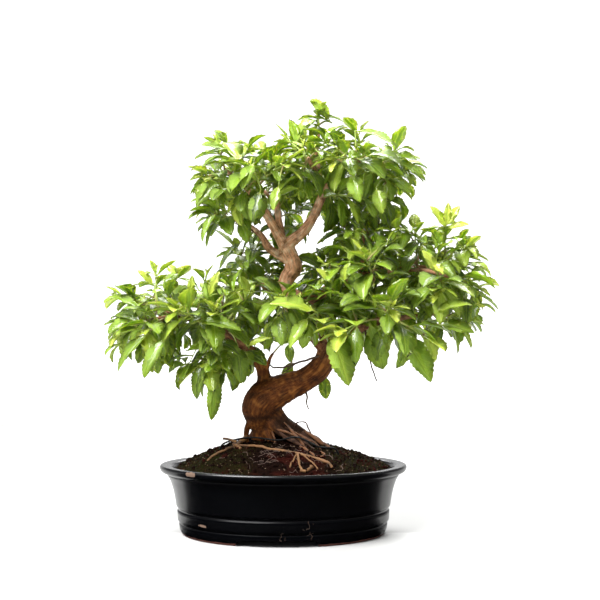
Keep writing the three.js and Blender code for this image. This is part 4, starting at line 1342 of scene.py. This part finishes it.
class BladePattern:
    """A flat leaf whose rows and columns are known, which each leaf's set then bends."""

    def __init__(self, places: Sequence[float], shares: Sequence[float], columns: int = 4) -> None:
        """Draw the pattern: an upper face and an underside, joined along their toothed rim.

        Args:
            places: where its rows lie, from 0 at the stalk to 1 at the tip.
            shares: its half width at each row, as a share of the widest.
            columns: how many faces the upper side has across it.
        """
        bm = bmesh.new()
        blade = bm.loops.layers.uv.new("blade")
        rows = len(places) - 1
        for columns, under in ((columns, False), (2, True)):
            made = bmesh.ops.create_grid(bm, x_segments=rows, y_segments=columns, size=1)["verts"]
            faces = {face for corner in made for face in corner.link_faces}
            for face in faces:
                face.material_index = 0
                for loop in face.loops:
                    row = round((loop.vert.co.x + 1) / 2 * rows)
                    loop[blade].uv = (places[row], loop.vert.co.y + (UNDER if under else 0))
            for corner in made:
                row = round((corner.co.x + 1) / 2 * rows)
                inner = under and abs(corner.co.y) < 0.5 and row < rows
                corner.co = (row, 0 if row == rows else corner.co.y, -1 if inner else 0)
            if under:
                bmesh.ops.reverse_faces(bm, faces=list(faces))
        bmesh.ops.remove_doubles(bm, verts=bm.verts, dist=1e-3)
        bmesh.ops.holes_fill(bm, edges=[edge for edge in bm.edges if edge.is_boundary], sides=8)
        bm.verts.layers.float.new("tone")
        self.mesh = set_flat(bm)
        corners = np.array([corner.co for corner in self.mesh.vertices])
        row = np.rint(corners[:, 0]).astype(int)
        self.along = np.array(places)[row]
        self.wide = np.array(shares)[row]
        self.aside = corners[:, 1]
        thick = np.interp(self.along, (0, STALK_END, 2 * STALK_END, 1), (1.3, 1.1, 0.6, 0.2))
        self.depth = np.where(corners[:, 2] < -0.5, thick, 0.0)
        self.spread = self.even_spread(np.array(places), np.array(shares))

    def draw(self, bm: BMesh, blade: Blade) -> None:
        """Add a leaf to a shape."""
        tone = bm.verts.layers.float["tone"]
        spots = blade.spots(self.along, self.aside, self.wide, self.depth)
        for corner, spot in zip(stamp(bm, self.mesh), spots):
            corner.co = spot
            corner[tone] = blade.tone

    @staticmethod
    def even_spread(
        places: np.ndarray, shares: np.ndarray, rows: int = 20, columns: int = 9
    ) -> tuple[np.ndarray, ...]:
        """Return places spread evenly over the blade past its stalk, as a set of leaf takes them."""
        along = np.repeat(np.linspace(2 * STALK_END, 1, rows), columns)
        aside = np.tile(np.linspace(-1, 1, columns), rows)
        return along, aside, np.interp(along, places, shares), np.zeros(rows * columns)

    def samples(self, blade: Blade) -> np.ndarray:
        """Return places spread evenly over a leaf, past its stalk."""
        return blade.spots(*self.spread)


class Room:
    """The space round the tree in small cells, which leaves and wood take up one by one."""

    def __init__(self, low: Vector, high: Vector, cell: float = 2.0) -> None:
        """Start with all of it free.

        Args:
            low: its lowest corner.
            high: its highest corner.
            cell: a cell's side, in millimetres.
        """
        self.low, self.high, self.cell = np.array(low), np.array(high), cell
        self.taken = np.zeros(np.ceil((self.high - self.low) / cell).astype(int), bool)

    def cells(self, spots: np.ndarray) -> tuple[np.ndarray, ...]:
        """Return the cells that hold some places."""
        index = ((spots - self.low) / self.cell).astype(int)
        return tuple(np.clip(index, 0, np.array(self.taken.shape) - 1).T)

    def take(self, spots: np.ndarray) -> None:
        """Mark the cells of some places as taken."""
        self.taken[self.cells(spots)] = True

    def close(self, low: Vector, high: Vector) -> None:
        """Mark a box as taken."""
        (x0, y0, z0), (x1, y1, z1) = np.array(self.cells(np.array([low, high], dtype=float))).T
        self.taken[x0:x1, y0:y1, z0:z1] = True

    def is_free(self, spots: np.ndarray) -> bool:
        """Return whether some places lie inside and in free cells."""
        inside = (spots > self.low).all() and (spots < self.high).all()
        return bool(inside and not self.taken[self.cells(spots)].any())


@dataclass
class Shoot:
    """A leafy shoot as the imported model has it: its stem's line and the set of each leaf."""

    name: str
    line: list[Vector]
    radii: list[float]
    blades: list[Blade]

    @classmethod
    def read(cls, model: Model, name: str, draw: random.Random) -> Shoot:
        """Find a shoot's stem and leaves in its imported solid.

        Each leaf there has two middle corners, above and below, that share the nine corners of its rim.
        """
        bm = model.shape(name)
        hubs = [corner for corner in bm.verts if len(corner.link_edges) == 11]
        around = {hub: {edge.other_vert(hub) for edge in hub.link_edges} for hub in hubs}
        stem = set(bm.verts)
        found = []
        while hubs:
            hub = hubs.pop()
            mate = next(other for other in hubs if len(around[other] & around[hub]) == 9)
            hubs.remove(mate)
            rim = around[hub] & around[mate]
            stem -= {hub, mate, *rim}
            found.append((hub, mate, cls.in_order(rim), (around[hub] | around[mate]) - rim))
        line, radii = cls.stem_line([corner.co.copy() for corner in stem])
        base, reach = line[0], (line[-1] - line[0]).length
        blades = []
        for hub, mate, rim, root in found:
            start = sum((corner.co for corner in root), Vector()) / len(root)
            newness = min(1.0, (start - base).length / reach)
            edge = [corner.co.copy() for corner in rim]
            blades.append(cls.blade(hub.co, mate.co, edge, start, newness, draw))
        bm.free()
        return cls(name, line, radii, blades)

    @staticmethod
    def in_order(rim: set[BMVert]) -> list[BMVert]:
        """Return a rim's corners from one end of it to the other."""
        beside = {corner: {edge.other_vert(corner) for edge in corner.link_edges} & rim for corner in rim}
        chain = [next(corner for corner in rim if len(beside[corner]) == 1)]
        while len(chain) < len(rim):
            chain.append(next(corner for corner in beside[chain[-1]] if corner not in chain))
        return chain

    @staticmethod
    def stem_line(corners: list[Vector]) -> tuple[list[Vector], list[float]]:
        """Return the centre and radius of each ring of four corners, from the stem's thick end to its tip."""
        places = np.array(corners)
        middle = places.mean(0)
        axis = np.linalg.svd(places - middle)[2][0]
        order = np.argsort((places - middle) @ axis)
        rings = [places[order[i : i + 4]] for i in range(0, len(order), 4)]
        centres = [ring.mean(0) for ring in rings]
        radii = [float(np.linalg.norm(ring - centre, axis=1).mean()) for ring, centre in zip(rings, centres)]
        if radii[0] < radii[-1]:
            centres.reverse()
            radii.reverse()
        return [Vector(centre) for centre in centres], radii

    @staticmethod
    def blade(
        one: Vector, other: Vector, rim: list[Vector], root: Vector, newness: float, draw: random.Random
    ) -> Blade:
        """Return a leaf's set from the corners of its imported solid.

        Args:
            one: one of its two middle corners.
            other: the other one.
            rim: the nine corners of its rim, from one side of the stalk to the other.
            root: where it leaves the stem.
            newness: from 0 for an old leaf to 1 for one at the shoot's tip.
            draw: what varies its tone and its waves.
        """
        middle, tip = (one + other) / 2, rim[4]
        near, far = rim[0] - rim[8], rim[3] - rim[5]
        wide = (rim[1] - rim[7]).length / 2
        control = 2 * middle - (root + tip) / 2
        there = 0.58
        centre = (1 - there) ** 2 * root + 2 * there * (1 - there) * control + there**2 * tip
        rise = (rim[1] + rim[7]) / 2 - centre
        face = (tip - root).cross(near)
        if face.dot(rise) < 0:
            near, far = -near, -far
        tone = 0.16 + 0.5 * newness**2 + 0.36 * draw.random() ** 1.5
        return Blade(
            root,
            middle,
            tip,
            near.normalized(),
            far.normalized(),
            math.hypot(wide, rise.length),
            math.atan2(rise.length, wide),
            min(1.0, tone),
            draw.uniform(-3, 3),
        )


@dataclass(frozen=True)
class Clump:
    """An egg-shaped stretch of a pad, whose short twigs end inside it. Its newness makes its leaves younger,
    lighter and more often budding; the low newness of the back and lower clumps also stands for painted
    shade.
    """

    middle: tuple[float, float, float]
    reach: tuple[float, float, float]
    twigs: int
    new: float = 0.3


# Each clump's last number is its newness; the back and lower clumps get low ones, which darken their leaves
# as painted shade as well as older leaves.
PADS: dict[str, tuple[Clump, ...]] = {
    "left": (
        Clump((-100, 0, 250), (84, 62, 26), 60),
        Clump((-60, -10, 262), (44, 56, 20), 26, 0.5),
        Clump((-150, -20, 222), (36, 46, 26), 20),
        Clump((-80, -20, 200), (34, 44, 30), 18, 0.15),
        Clump((-52, 36, 226), (40, 44, 36), 22, 0.1),
    ),
    "crown": (
        Clump((-36, 0, 407), (56, 66, 26), 46, 0.45),
        Clump((84, 0, 410), (66, 66, 34), 50, 0.4),
        Clump((46, -6, 422), (42, 60, 26), 32, 0.5),
        Clump((6, 0, 408), (40, 56, 22), 18, 0.3),
        Clump((-60, -10, 382), (30, 50, 32), 18, 0.2),
        Clump((10, 44, 384), (70, 44, 32), 30, 0.1),
        Clump((108, 10, 372), (40, 50, 26), 20, 0.2),
        Clump((34, 0, 454), (18, 30, 14), 8, 0.7),
    ),
    "middle": (
        Clump((-34, 44, 306), (34, 44, 38), 34, 0.15),
        Clump((40, 46, 306), (36, 42, 36), 26, 0.15),
        Clump((14, -44, 244), (40, 26, 22), 12, 0.5),
        Clump((22, 42, 244), (42, 36, 26), 14, 0.1),
    ),
    "right": (
        Clump((110, 0, 322), (66, 66, 30), 44, 0.4),
        Clump((176, 0, 304), (40, 60, 36), 36, 0.5),
        Clump((130, -10, 262), (76, 72, 34), 70, 0.3),
        Clump((74, 30, 270), (44, 60, 50), 40, 0.1),
        Clump((186, -20, 262), (40, 54, 30), 24, 0.3),
        Clump((70, -50, 262), (40, 40, 26), 22, 0.4),
        Clump((92, 0, 352), (30, 40, 18), 14, 0.2),
    ),
}

BARE_WINDOWS = (
    (Vector((-24, -200, 284)), Vector((40, 8, 366))),
    (Vector((-34, -200, 100)), Vector((46, 0, 188))),
    (Vector((-104, -200, 308)), Vector((-72, 200, 330))),
    (Vector((32, -200, 330)), Vector((54, 200, 362))),
    (Vector((146, -200, 358)), Vector((168, 200, 386))),
    (Vector((-74, -200, 330)), Vector((-52, 200, 360))),
    (Vector((-14, -200, 176)), Vector((36, 200, 206))),
    (Vector((-60, -200, 60)), Vector((110, 200, 150))),
)


@dataclass(frozen=True)
class Notable:
    """A leaf that the eye picks out, from its stalk's foot to its tip."""

    root: tuple[float, float, float]
    tip: tuple[float, float, float]
    half_width: float
    tone: float
    facing: tuple[float, float, float] = (0, -0.9, 0.45)


NOTABLES: dict[str, Notable] = {
    "upright_at_the_top": Notable((54, -9, 469), (31, -13, 494), 8, 0.6),
    "dark_at_the_top": Notable((56, -12, 467), (21, -18, 470), 7, 0.2, (0, -0.5, 0.85)),
    "crown_right_long": Notable((80, -44, 450), (127, -56, 426), 9, 0.5, (0.2, -0.7, 0.7)),
    "crown_far_right": Notable((119, -30, 420), (160, -34, 395), 8.5, 0.35, (0.3, -0.7, 0.65)),
    "crown_right_upper": Notable((99, -30, 413), (130, -38, 427), 7, 0.5),
    "crown_left_upright": Notable((-63, -20, 440), (-79, -24, 455), 6.5, 0.35),
    "crown_left_flat": Notable((-64, -30, 432), (-92, -38, 435), 6.5, 0.45),
    "crown_left_drooping": Notable((-68, -40, 398), (-96, -48, 364), 9.5, 0.35),
    "crown_left_hanging": Notable((-75, -20, 362), (-91, -28, 327), 7, 0.5, (-0.5, -0.8, 0.2)),
    "crown_left_dark": Notable((-49, 10, 333), (-75, 8, 298), 6, 0.15, (-0.3, -0.8, 0.4)),
    "crown_middle": Notable((-31, -72, 408), (-43, -84, 376), 9, 0.5),
    "crown_broad_dark": Notable((-23, -76, 378), (-32, -82, 341), 8.5, 0.14, (-0.2, -0.95, 0.2)),
    "crown_narrow": Notable((-4, -80, 382), (-10, -86, 354), 6.5, 0.6, (0, -1, 0.1)),
    "crown_right_broad": Notable((73, -74, 395), (83, -84, 363), 10, 0.5),
    "crown_right_hanging": Notable((102, -60, 383), (108, -68, 353), 9, 0.6),
    "crown_right_end": Notable((120, -40, 398), (142, -44, 380), 7, 0.35),
    "middle_long": Notable((37, -84, 246), (-14, -92, 254), 11.5, 0.7, (0, -0.8, 0.6)),
    "middle_hanging": Notable((28, -82, 241), (8, -90, 207), 9, 0.6),
    "middle_dark": Notable((-6, -66, 244), (0, -76, 210), 10, 0.3),
    "right_broadest": Notable((50, -78, 225), (70, -88, 168), 16, 0.6, (0.1, -0.95, 0.3)),
    "right_broad": Notable((123, -80, 223), (156, -92, 172), 15.5, 0.5, (0.2, -0.9, 0.4)),
    "right_dark": Notable((110, -66, 232), (100, -74, 194), 10, 0.25),
    "right_long": Notable((161, -80, 246), (201, -90, 253), 9, 0.65, (0, -0.75, 0.66)),
    "right_low": Notable((168, -66, 233), (205, -76, 224), 9, 0.55),
    "right_end": Notable((206, -30, 272), (240, -34, 250), 8, 0.5, (0.4, -0.6, 0.7)),
    "right_new_left": Notable((183, -30, 342), (164, -34, 367), 6.5, 0.98),
    "right_new_middle": Notable((182, -34, 344), (184, -40, 370), 5.5, 1.0),
    "right_new_right": Notable((183, -30, 345), (198, -34, 367), 6, 1.0),
    "right_new_low": Notable((184, -30, 342), (208, -36, 346), 5, 0.95),
    "right_dark_end": Notable((199, -20, 323), (219, -24, 309), 5.5, 0.25),
    "right_yellow": Notable((166, -70, 288), (149, -80, 312), 6.5, 1.0),
    "right_yellow_lower": Notable((161, -72, 300), (172, -80, 286), 5.5, 1.0),
    "right_inner_new": Notable((54, -66, 277), (36, -74, 293), 5, 0.95),
    "right_inner_upright": Notable((63, -66, 277), (73, -72, 300), 6, 0.75),
    "left_end": Notable((-156, -40, 250), (-195, -44, 264), 8, 0.5, (-0.2, -0.6, 0.8)),
    "left_end_low": Notable((-168, -40, 241), (-193, -44, 224), 7, 0.45),
    "left_new": Notable((-143, -40, 277), (-161, -44, 294), 5, 0.85),
    "left_broad_drooping": Notable((-140, -76, 225), (-173, -86, 182), 10, 0.35, (-0.4, -0.8, 0.5)),
    "left_drooping": Notable((-120, -80, 221), (-145, -88, 176), 9, 0.4, (-0.4, -0.8, 0.5)),
    "left_hanging": Notable((-86, -50, 195), (-93, -54, 152), 9, 0.22, (-0.3, -0.95, 0.1)),
    "left_lowest": Notable((-74, -46, 184), (-78, -48, 129), 9.5, 0.42, (0.2, -0.95, 0.1)),
    "left_inner_light": Notable((-38, -60, 210), (-11, -66, 219), 5.5, 0.85),
    "left_inner_new": Notable((-79, -70, 263), (-67, -76, 290), 5.5, 0.9),
    "left_inner_upright": Notable((-99, -70, 261), (-96, -76, 286), 5, 0.85),
    "left_long": Notable((-93, -80, 236), (-42, -90, 226), 9, 0.4, (0, -0.7, 0.7)),
    "left_inner_broad": Notable((-50, -44, 212), (-45, -52, 169), 11, 0.28, (0.1, -0.95, 0.2)),
    "under_the_trunk": Notable((46, 12, 178), (49, 12, 149), 8.5, 0.35, (0, -0.95, 0.1)),
    "over_the_fork": Notable((6, -20, 214), (8, -24, 192), 6.5, 0.3, (0, -0.95, 0.1)),
    "under_the_bare_twig": Notable((10, 18, 194), (-3, 18, 168), 7, 0.25, (0.2, -0.95, 0.1)),
}


@dataclass
class Foliage:
    """All leaves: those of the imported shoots, redrawn fine, the most noticeable ones, and filling twigs."""

    room: Room
    pattern: BladePattern = field(default_factory=lambda: BladePattern(BLADE_ROWS, BLADE_SHARES))
    finishes: tuple[Finish, Finish] = (LeafBlade("waxy_leaf"), GreenStem("green_stem"))
    stems: list[Vector] = field(default_factory=list)

    def build(self, model: Model) -> list[Object]:
        """Make a piece for each shoot, one for the noticeable leaves, and one for each pad's filling."""
        draw = random.Random(31)
        shoots = [Shoot.read(model, name, draw) for name in sorted(model.nodes) if "_shoot_" in name]
        for low, high in BARE_WINDOWS:
            self.room.close(low, high)
        for rows in [*BRANCHES.values(), *BARE_TWIGS.values()]:
            line, _ = smooth_line(rows, 8 * (len(rows) - 1))
            self.stems.extend(line[4:])
            self.room.take(np.array(line))
        for shoot in shoots:
            self.stems.extend(shoot.line)
            for blade in shoot.blades:
                self.room.take(self.pattern.samples(blade))
        made = [self.leafy(model, shoot) for shoot in shoots]
        made.append(self.noticeable(model, draw))
        made.extend(self.fill(model, pad, clumps, draw) for pad, clumps in PADS.items())
        return made

    def new_shape(self) -> BMesh:
        """Return an empty shape that can hold leaves."""
        bm = bmesh.new()
        bm.loops.layers.uv.new("blade")
        bm.verts.layers.float.new("tone")
        return bm

    def draw_stem(self, bm: BMesh, line: list[Vector], radii: list[float], sides: int = 7) -> None:
        """Add a stem that goes from wood to green along its length."""
        stem = tube(line, radii, sides)
        tone = stem.verts.layers.float.new("tone")
        length = (line[-1] - line[0]).length
        for corner in stem.verts:
            corner[tone] = min(1.0, (corner.co - line[0]).length / length)
        for face in stem.faces:
            face.material_index = 1
        join(bm, stem)

    def leafy(self, model: Model, shoot: Shoot) -> Object:
        """Redraw a packed shoot, with a pair of new leaves at its tip."""
        bm = self.new_shape()
        outward = (shoot.line[0] - shoot.line[1]).normalized()
        rows = [(*(shoot.line[0] + outward * 2.2), shoot.radii[0])]
        rows += [(*spot, radius) for spot, radius in zip(shoot.line, shoot.radii)]
        tip = shoot.line[-1] + (shoot.line[-1] - shoot.line[-2]).normalized() * 3
        rows.append((*tip, 0.5))
        line, radii = smooth_line(rows, 3 * (len(rows) - 1))
        self.draw_stem(bm, line, radii)
        for blade in shoot.blades:
            self.pattern.draw(bm, blade)
        forward = (line[-1] - line[-4]).normalized()
        self.draw_bud(bm, tip, forward)
        return model.piece(bm, shoot.name + "_leaves", Slot.LEAF, self.finishes, [shoot.name])

    def draw_bud(self, bm: BMesh, tip: Vector, forward: Vector) -> None:
        """Add a pair of small new leaves that stand up at a shoot's tip."""
        side = forward.orthogonal().normalized()
        for one in (side, -side):
            heading = (forward + one * 0.55 + Vector((0, 0, 0.5))).normalized()
            across = heading.cross(one).normalized()
            face = across.cross(heading)
            middle = tip + heading * 6 - face * 0.8
            blade = Blade(tip, middle, tip + heading * 12, across, across, 2.6, 0.6, 0.95)
            self.pattern.draw(bm, blade)

    def stem_finder(self) -> kdtree.KDTree:
        """Return what finds the stems that a new twig can leave from."""
        tree = kdtree.KDTree(len(self.stems))
        for i, spot in enumerate(self.stems):
            tree.insert(spot, i)
        tree.balance()
        return tree

    def noticeable(self, model: Model, draw: random.Random) -> Object:
        """Make the leaves that the eye picks out, each on a thin twig from the nearest stem."""
        bm = self.new_shape()
        finder = self.stem_finder()
        fine = BladePattern(*fine_outline(), columns=6)
        for leaf in NOTABLES.values():
            root, tip = Vector(leaf.root), Vector(leaf.tip)
            start, _, far = finder.find(root)
            heading = (tip - root).normalized()
            facing = Vector(leaf.facing)
            up = (facing - heading * facing.dot(heading)).normalized()
            across = up.cross(heading)
            middle = (root + tip) / 2 + up * (tip - root).length * 0.1
            twist = draw.gauss(0, 0.3)
            across_tip = across * math.cos(twist) + up * math.sin(twist)
            ripple = draw.uniform(-3, 3)
            blade = Blade(
                root, middle, tip, across, across_tip, leaf.half_width, 0.36, leaf.tone, ripple, 0.09
            )
            fine.draw(bm, blade)
            self.room.take(fine.samples(blade))
            bend = (start + root) / 2 + Vector((0, 0, 0.15 * far))
            line, radii = smooth_line([(*start, 1.1), (*bend, 0.9), (*root, 0.6)], 8)
            self.draw_stem(bm, line, radii, 5)
        return model.piece(bm, "noticeable_leaves", Slot.LEAF, self.finishes)

    def fill(
        self, model: Model, pad: str, clumps: Sequence[Clump], draw: random.Random
    ) -> Object:
        """Fill a pad with short twigs, whose leaves keep clear of all others.

        Args:
            model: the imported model.
            pad: the pad's name.
            clumps: where its twigs end.
            draw: what places the twigs.

        Returns:
            The pad's filling.
        """
        bm = self.new_shape()
        finder = self.stem_finder()
        leaves = 0
        for clump in clumps:
            for _ in range(clump.twigs):
                leaves += self.grow_twig(bm, clump, finder, draw)
        log.info("%s pad's filling has %d leaves", pad, leaves)
        return model.piece(bm, pad + "_filling", Slot.LEAF, self.finishes)

    def grow_twig(
        self, bm: BMesh, clump: Clump, finder: kdtree.KDTree, draw: random.Random, tries: int = 20
    ) -> int:
        """Grow a twig to a drawn place in a clump, where enough of its leaves find room.

        Args:
            bm: the shape that takes it.
            clump: where it ends.
            finder: what finds the stem that it leaves from.
            draw: what places it.
            tries: how many places are tried.

        Returns:
            How many leaves it has.
        """
        for _ in range(tries):
            off = Vector((draw.gauss(0, 1), draw.gauss(0, 1), draw.gauss(0, 1))).normalized()
            off *= draw.random() ** 0.4
            tip = Vector([m + r * o for m, r, o in zip(clump.middle, clump.reach, off)])
            near = [spot for spot, _, far in finder.find_n(tip, 14) if 10 < far < 46]
            if not near:
                continue
            start = draw.choice(near)
            length = (tip - start).length
            middle = (start + tip) / 2 + Vector((0, 0, 0.1 * length))
            blades = self.twig_blades(start, middle, tip, clump.new, draw)
            if len(blades) < 3:
                continue
            stem, radii = smooth_line([(*start, 1.0), (*middle, 0.8), (*tip, 0.45)], 8)
            self.draw_stem(bm, stem, radii, 5)
            for blade in blades:
                self.room.take(self.pattern.samples(blade))
                self.pattern.draw(bm, blade)
            if draw.random() < clump.new:
                self.draw_bud(bm, tip, (tip - middle).normalized())
            return len(blades)
        return 0

    def twig_blades(
        self, start: Vector, middle: Vector, tip: Vector, new: float, draw: random.Random
    ) -> list[Blade]:
        """Return the leaves of a twig that find room.

        Args:
            start: where the twig leaves its stem.
            middle: its middle.
            tip: its tip.
            new: how young its leaves are, from 0 to 1; low values also darken them as painted shade.
            draw: what varies the leaves.

        Returns:
            The leaves.
        """
        forward = (tip - start).normalized()
        first = forward.orthogonal().normalized()
        spin = draw.random() * math.pi
        first = (first * math.cos(spin) + forward.cross(first) * math.sin(spin)).normalized()
        second = forward.cross(first)
        nodes = max(2, min(4, round((tip - start).length / 9)))
        blades = []
        for node in range(nodes):
            share = 0.4 + 0.6 * node / (nodes - 1)
            root = (1 - share) ** 2 * start + 2 * share * (1 - share) * middle + share**2 * tip
            pair = first if node % 2 else second
            for side in (pair, -pair):
                blade = self.grown(root, forward, side, share, new, draw)
                ends = np.array([blade.middle, blade.tip])
                if self.room.is_free(ends) and self.room.is_free(self.pattern.samples(blade)):
                    blades.append(blade)
        return blades

    def grown(
        self, root: Vector, forward: Vector, side: Vector, share: float, new: float, draw: random.Random
    ) -> Blade:
        """Return the set of a leaf that grows from a twig.

        Args:
            root: where it leaves the twig.
            forward: the twig's direction.
            side: the side of the twig that it grows from.
            share: how far out on the twig, from 0 to 1.
            new: how young the twig is, from 0 to 1; low values also darken its leaves as painted shade.
            draw: what varies it.
        """
        spread = 1.2 - 0.6 * share + draw.gauss(0, 0.2)
        heading = forward * math.cos(spread) + side * math.sin(spread)
        heading.z = heading.z * 0.7 - 0.3 * (1 - share) - 0.12 + draw.gauss(0, 0.22)
        heading.normalize()
        up = Vector((draw.gauss(0, 0.3), draw.gauss(-0.25, 0.3), 1)) + forward * 0.3 + side * 0.3
        up = (up - heading * up.dot(heading)).normalized()
        across = up.cross(heading)
        length = (48 - 18 * share) * draw.uniform(0.75, 1.15)
        bend = draw.uniform(0.08, 0.26) * length
        middle = root + heading * length * 0.5 + up * bend * 0.3
        tip = root + heading * length * 0.93 - up * bend
        twist = draw.gauss(0, 0.3)
        across_tip = across * math.cos(twist) + up * math.sin(twist)
        # Tone is lighter for young leaves near the tip; the clump's newness, low at the back and bottom of
        # the tree, also darkens its leaves as painted shade.
        tone = min(1.0, 0.05 + 0.35 * new + 0.4 * new * share**2 + 0.42 * draw.random() ** 2)
        wide = length * draw.uniform(0.23, 0.28)
        return Blade(root, middle, tip, across, across_tip, wide, 0.32, tone, draw.uniform(-3, 3))


@dataclass
class Studio:
    """White paper that curves up behind the tree, soft light from above, and the photograph's point of view.

    What is glossy mirrors the soft sky, a black card in front and a grey one behind, not the bright paper.
    """

    eye: tuple[float, float, float] = (18.9, -1050.0, 206.0)
    rise_deg: float = 3.13
    lens: float = 54.8
    half_width: float = 5.0
    front: float = -4.0
    card_end: float = 0.0
    grey_height: float = 0.5
    bend_start: float = 1.5
    bend_radius: float = 1.2
    wall_top: float = 5.0
    wall_glow: float = 0.85
    grey_glow: float = 0.62
    sky_strength: float = 0.26
    lamp_aim: tuple[float, float, float] = (0, 0, 0.25)
    lamps: tuple[tuple[str, tuple[float, float, float], float, float], ...] = (
        ("key", (-0.9, -1.0, 1.6), 1.25, 97),
        ("top", (0.4, 0.8, 1.7), 1.2, 64),
        ("back", (0.0, 2.0, 2.0), 1.6, 50),
    )

    def build(self, model: Model) -> None:
        """Make the camera, the paper, the lamps and the sky."""
        scene = bpy.context.scene
        scene.view_settings.view_transform = "Standard"
        camera = bpy.data.objects.new("camera", bpy.data.cameras.new("camera"))
        camera.location = model.place(*self.eye)
        camera.rotation_euler = (math.radians(90 + self.rise_deg), 0, 0)
        camera.data.lens = self.lens
        camera.data.sensor_width = 36
        camera.data.clip_end = 100
        scene.collection.objects.link(camera)
        scene.camera = camera
        self.lay_paper()
        for name, place, size, power in self.lamps:
            self.hang_lamp(name, place, size, power)
        self.light_sky()

    def strip(self, name: str, finish: Finish, near: float, far: float, height: float) -> Object:
        """Lay a flat strip across the studio.

        Args:
            name: the strip's name.
            finish: what it is made of.
            near: its front edge, in metres.
            far: its back edge.
            height: how high it lies.

        Returns:
            The strip.
        """
        bm = bmesh.new()
        bmesh.ops.create_grid(bm, x_segments=1, y_segments=1, size=1)
        bmesh.ops.scale(bm, vec=(self.half_width, (far - near) / 2, 1), verts=bm.verts)
        bmesh.ops.translate(bm, vec=(0, (far + near) / 2, height), verts=bm.verts)
        return self.stand(name, finish, bm)

    def stand(self, name: str, finish: Finish, bm: BMesh) -> Object:
        """Set up a piece of the studio, which isn't part of the model."""
        made = bpy.data.objects.new(name, set_flat(bm))
        made.data.materials.append(finish.material())
        made.data.shade_smooth()
        bpy.context.scene.collection.objects.link(made)
        made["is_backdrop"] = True
        return made

    def lay_paper(self) -> None:
        """Lay the paper, and under it a black card that only mirror-like surfaces see."""
        near_paper = StudioPaper("near_paper", white="#c8c8c7")
        floor = self.strip("near_floor", near_paper, self.front, self.card_end, 0)
        floor.visible_glossy = False
        self.strip("far_floor", StudioPaper("far_paper"), self.card_end, self.bend_start, 0)
        card = self.strip("black_card", BlackCard("black_card"), self.front, self.card_end, -0.01)
        mirrored = bmesh.new()
        upright = Matrix.Rotation(math.pi / 2, 4, "X")
        bmesh.ops.create_grid(mirrored, x_segments=1, y_segments=1, size=self.half_width, matrix=upright)
        bmesh.ops.scale(mirrored, vec=(1, 1, self.grey_height / 2 / self.half_width), verts=mirrored.verts)
        bmesh.ops.translate(mirrored, vec=(0, self.bend_start, self.grey_height / 2), verts=mirrored.verts)
        grey = self.stand("grey_card", StudioPaper("grey_card", "#808080", self.grey_glow), mirrored)
        for one in (card, grey):
            one.visible_camera = False
            one.visible_diffuse = False
            one.visible_shadow = False
        bm = bmesh.new()
        ends = [bm.verts.new((side * self.half_width, self.bend_start, 0)) for side in (-1, 1)]
        edge = bm.edges.new(ends)
        bent = bmesh.ops.spin(
            bm,
            geom=[*ends, edge],
            cent=(0, self.bend_start, self.bend_radius),
            axis=(1, 0, 0),
            angle=math.pi / 2,
            steps=24,
        )["geom_last"]
        top = bmesh.ops.extrude_edge_only(bm, edges=[part for part in bent if isinstance(part, BMEdge)])
        corners = [part for part in top["geom"] if isinstance(part, BMVert)]
        bmesh.ops.translate(bm, vec=(0, 0, self.wall_top), verts=corners)
        bmesh.ops.recalc_face_normals(bm, faces=bm.faces)
        backdrop = self.stand("backdrop", StudioPaper("lit_paper", glow=self.wall_glow), bm)
        backdrop.visible_glossy = False
        backdrop.visible_diffuse = False

    def hang_lamp(self, name: str, place: tuple[float, float, float], size: float, power: float) -> None:
        """Hang a square soft lamp that faces the tree.

        Args:
            name: the lamp's name.
            place: where it hangs, in metres.
            size: its side, in metres.
            power: its power, in watts.
        """
        lamp = bpy.data.objects.new(name, bpy.data.lights.new(name, "AREA"))
        lamp.data.size = size
        lamp.data.energy = power
        lamp.location = place
        lamp.rotation_euler = (Vector(self.lamp_aim) - Vector(place)).to_track_quat("-Z", "Y").to_euler()
        bpy.context.scene.collection.objects.link(lamp)

    def light_sky(self) -> None:
        """Light the scene softly from all round."""
        world = bpy.data.worlds.new("studio")
        world.use_nodes = True
        sky = world.node_tree.nodes["Background"]
        sky.inputs["Color"].default_value = linear("#ffffff")
        sky.inputs["Strength"].default_value = self.sky_strength
        bpy.context.scene.world = world


def main() -> None:
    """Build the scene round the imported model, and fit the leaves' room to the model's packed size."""
    logging.basicConfig(level=logging.INFO, format="%(message)s")
    noise.seed_set(NOISE_SEED)
    model = Model.load()
    packed_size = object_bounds()
    Studio().build(model)
    pot = Pot()
    pot.build(model)
    soil = Soil(pot)
    soil.build(model)
    Wood().build(model)
    LooseRoots(soil).build(model)
    TieWire().build(model)
    screen = ScreenPlastic("screen_plastic").material()
    for side in ("left", "right"):
        model.nodes[f"drain_screen_{side}"].data.materials[0] = screen
    low, high = (model.matrix.inverted() @ Vector(corner) for corner in packed_size)
    Foliage(Room(low, high)).build(model)


if __name__ == "__main__":
    main()
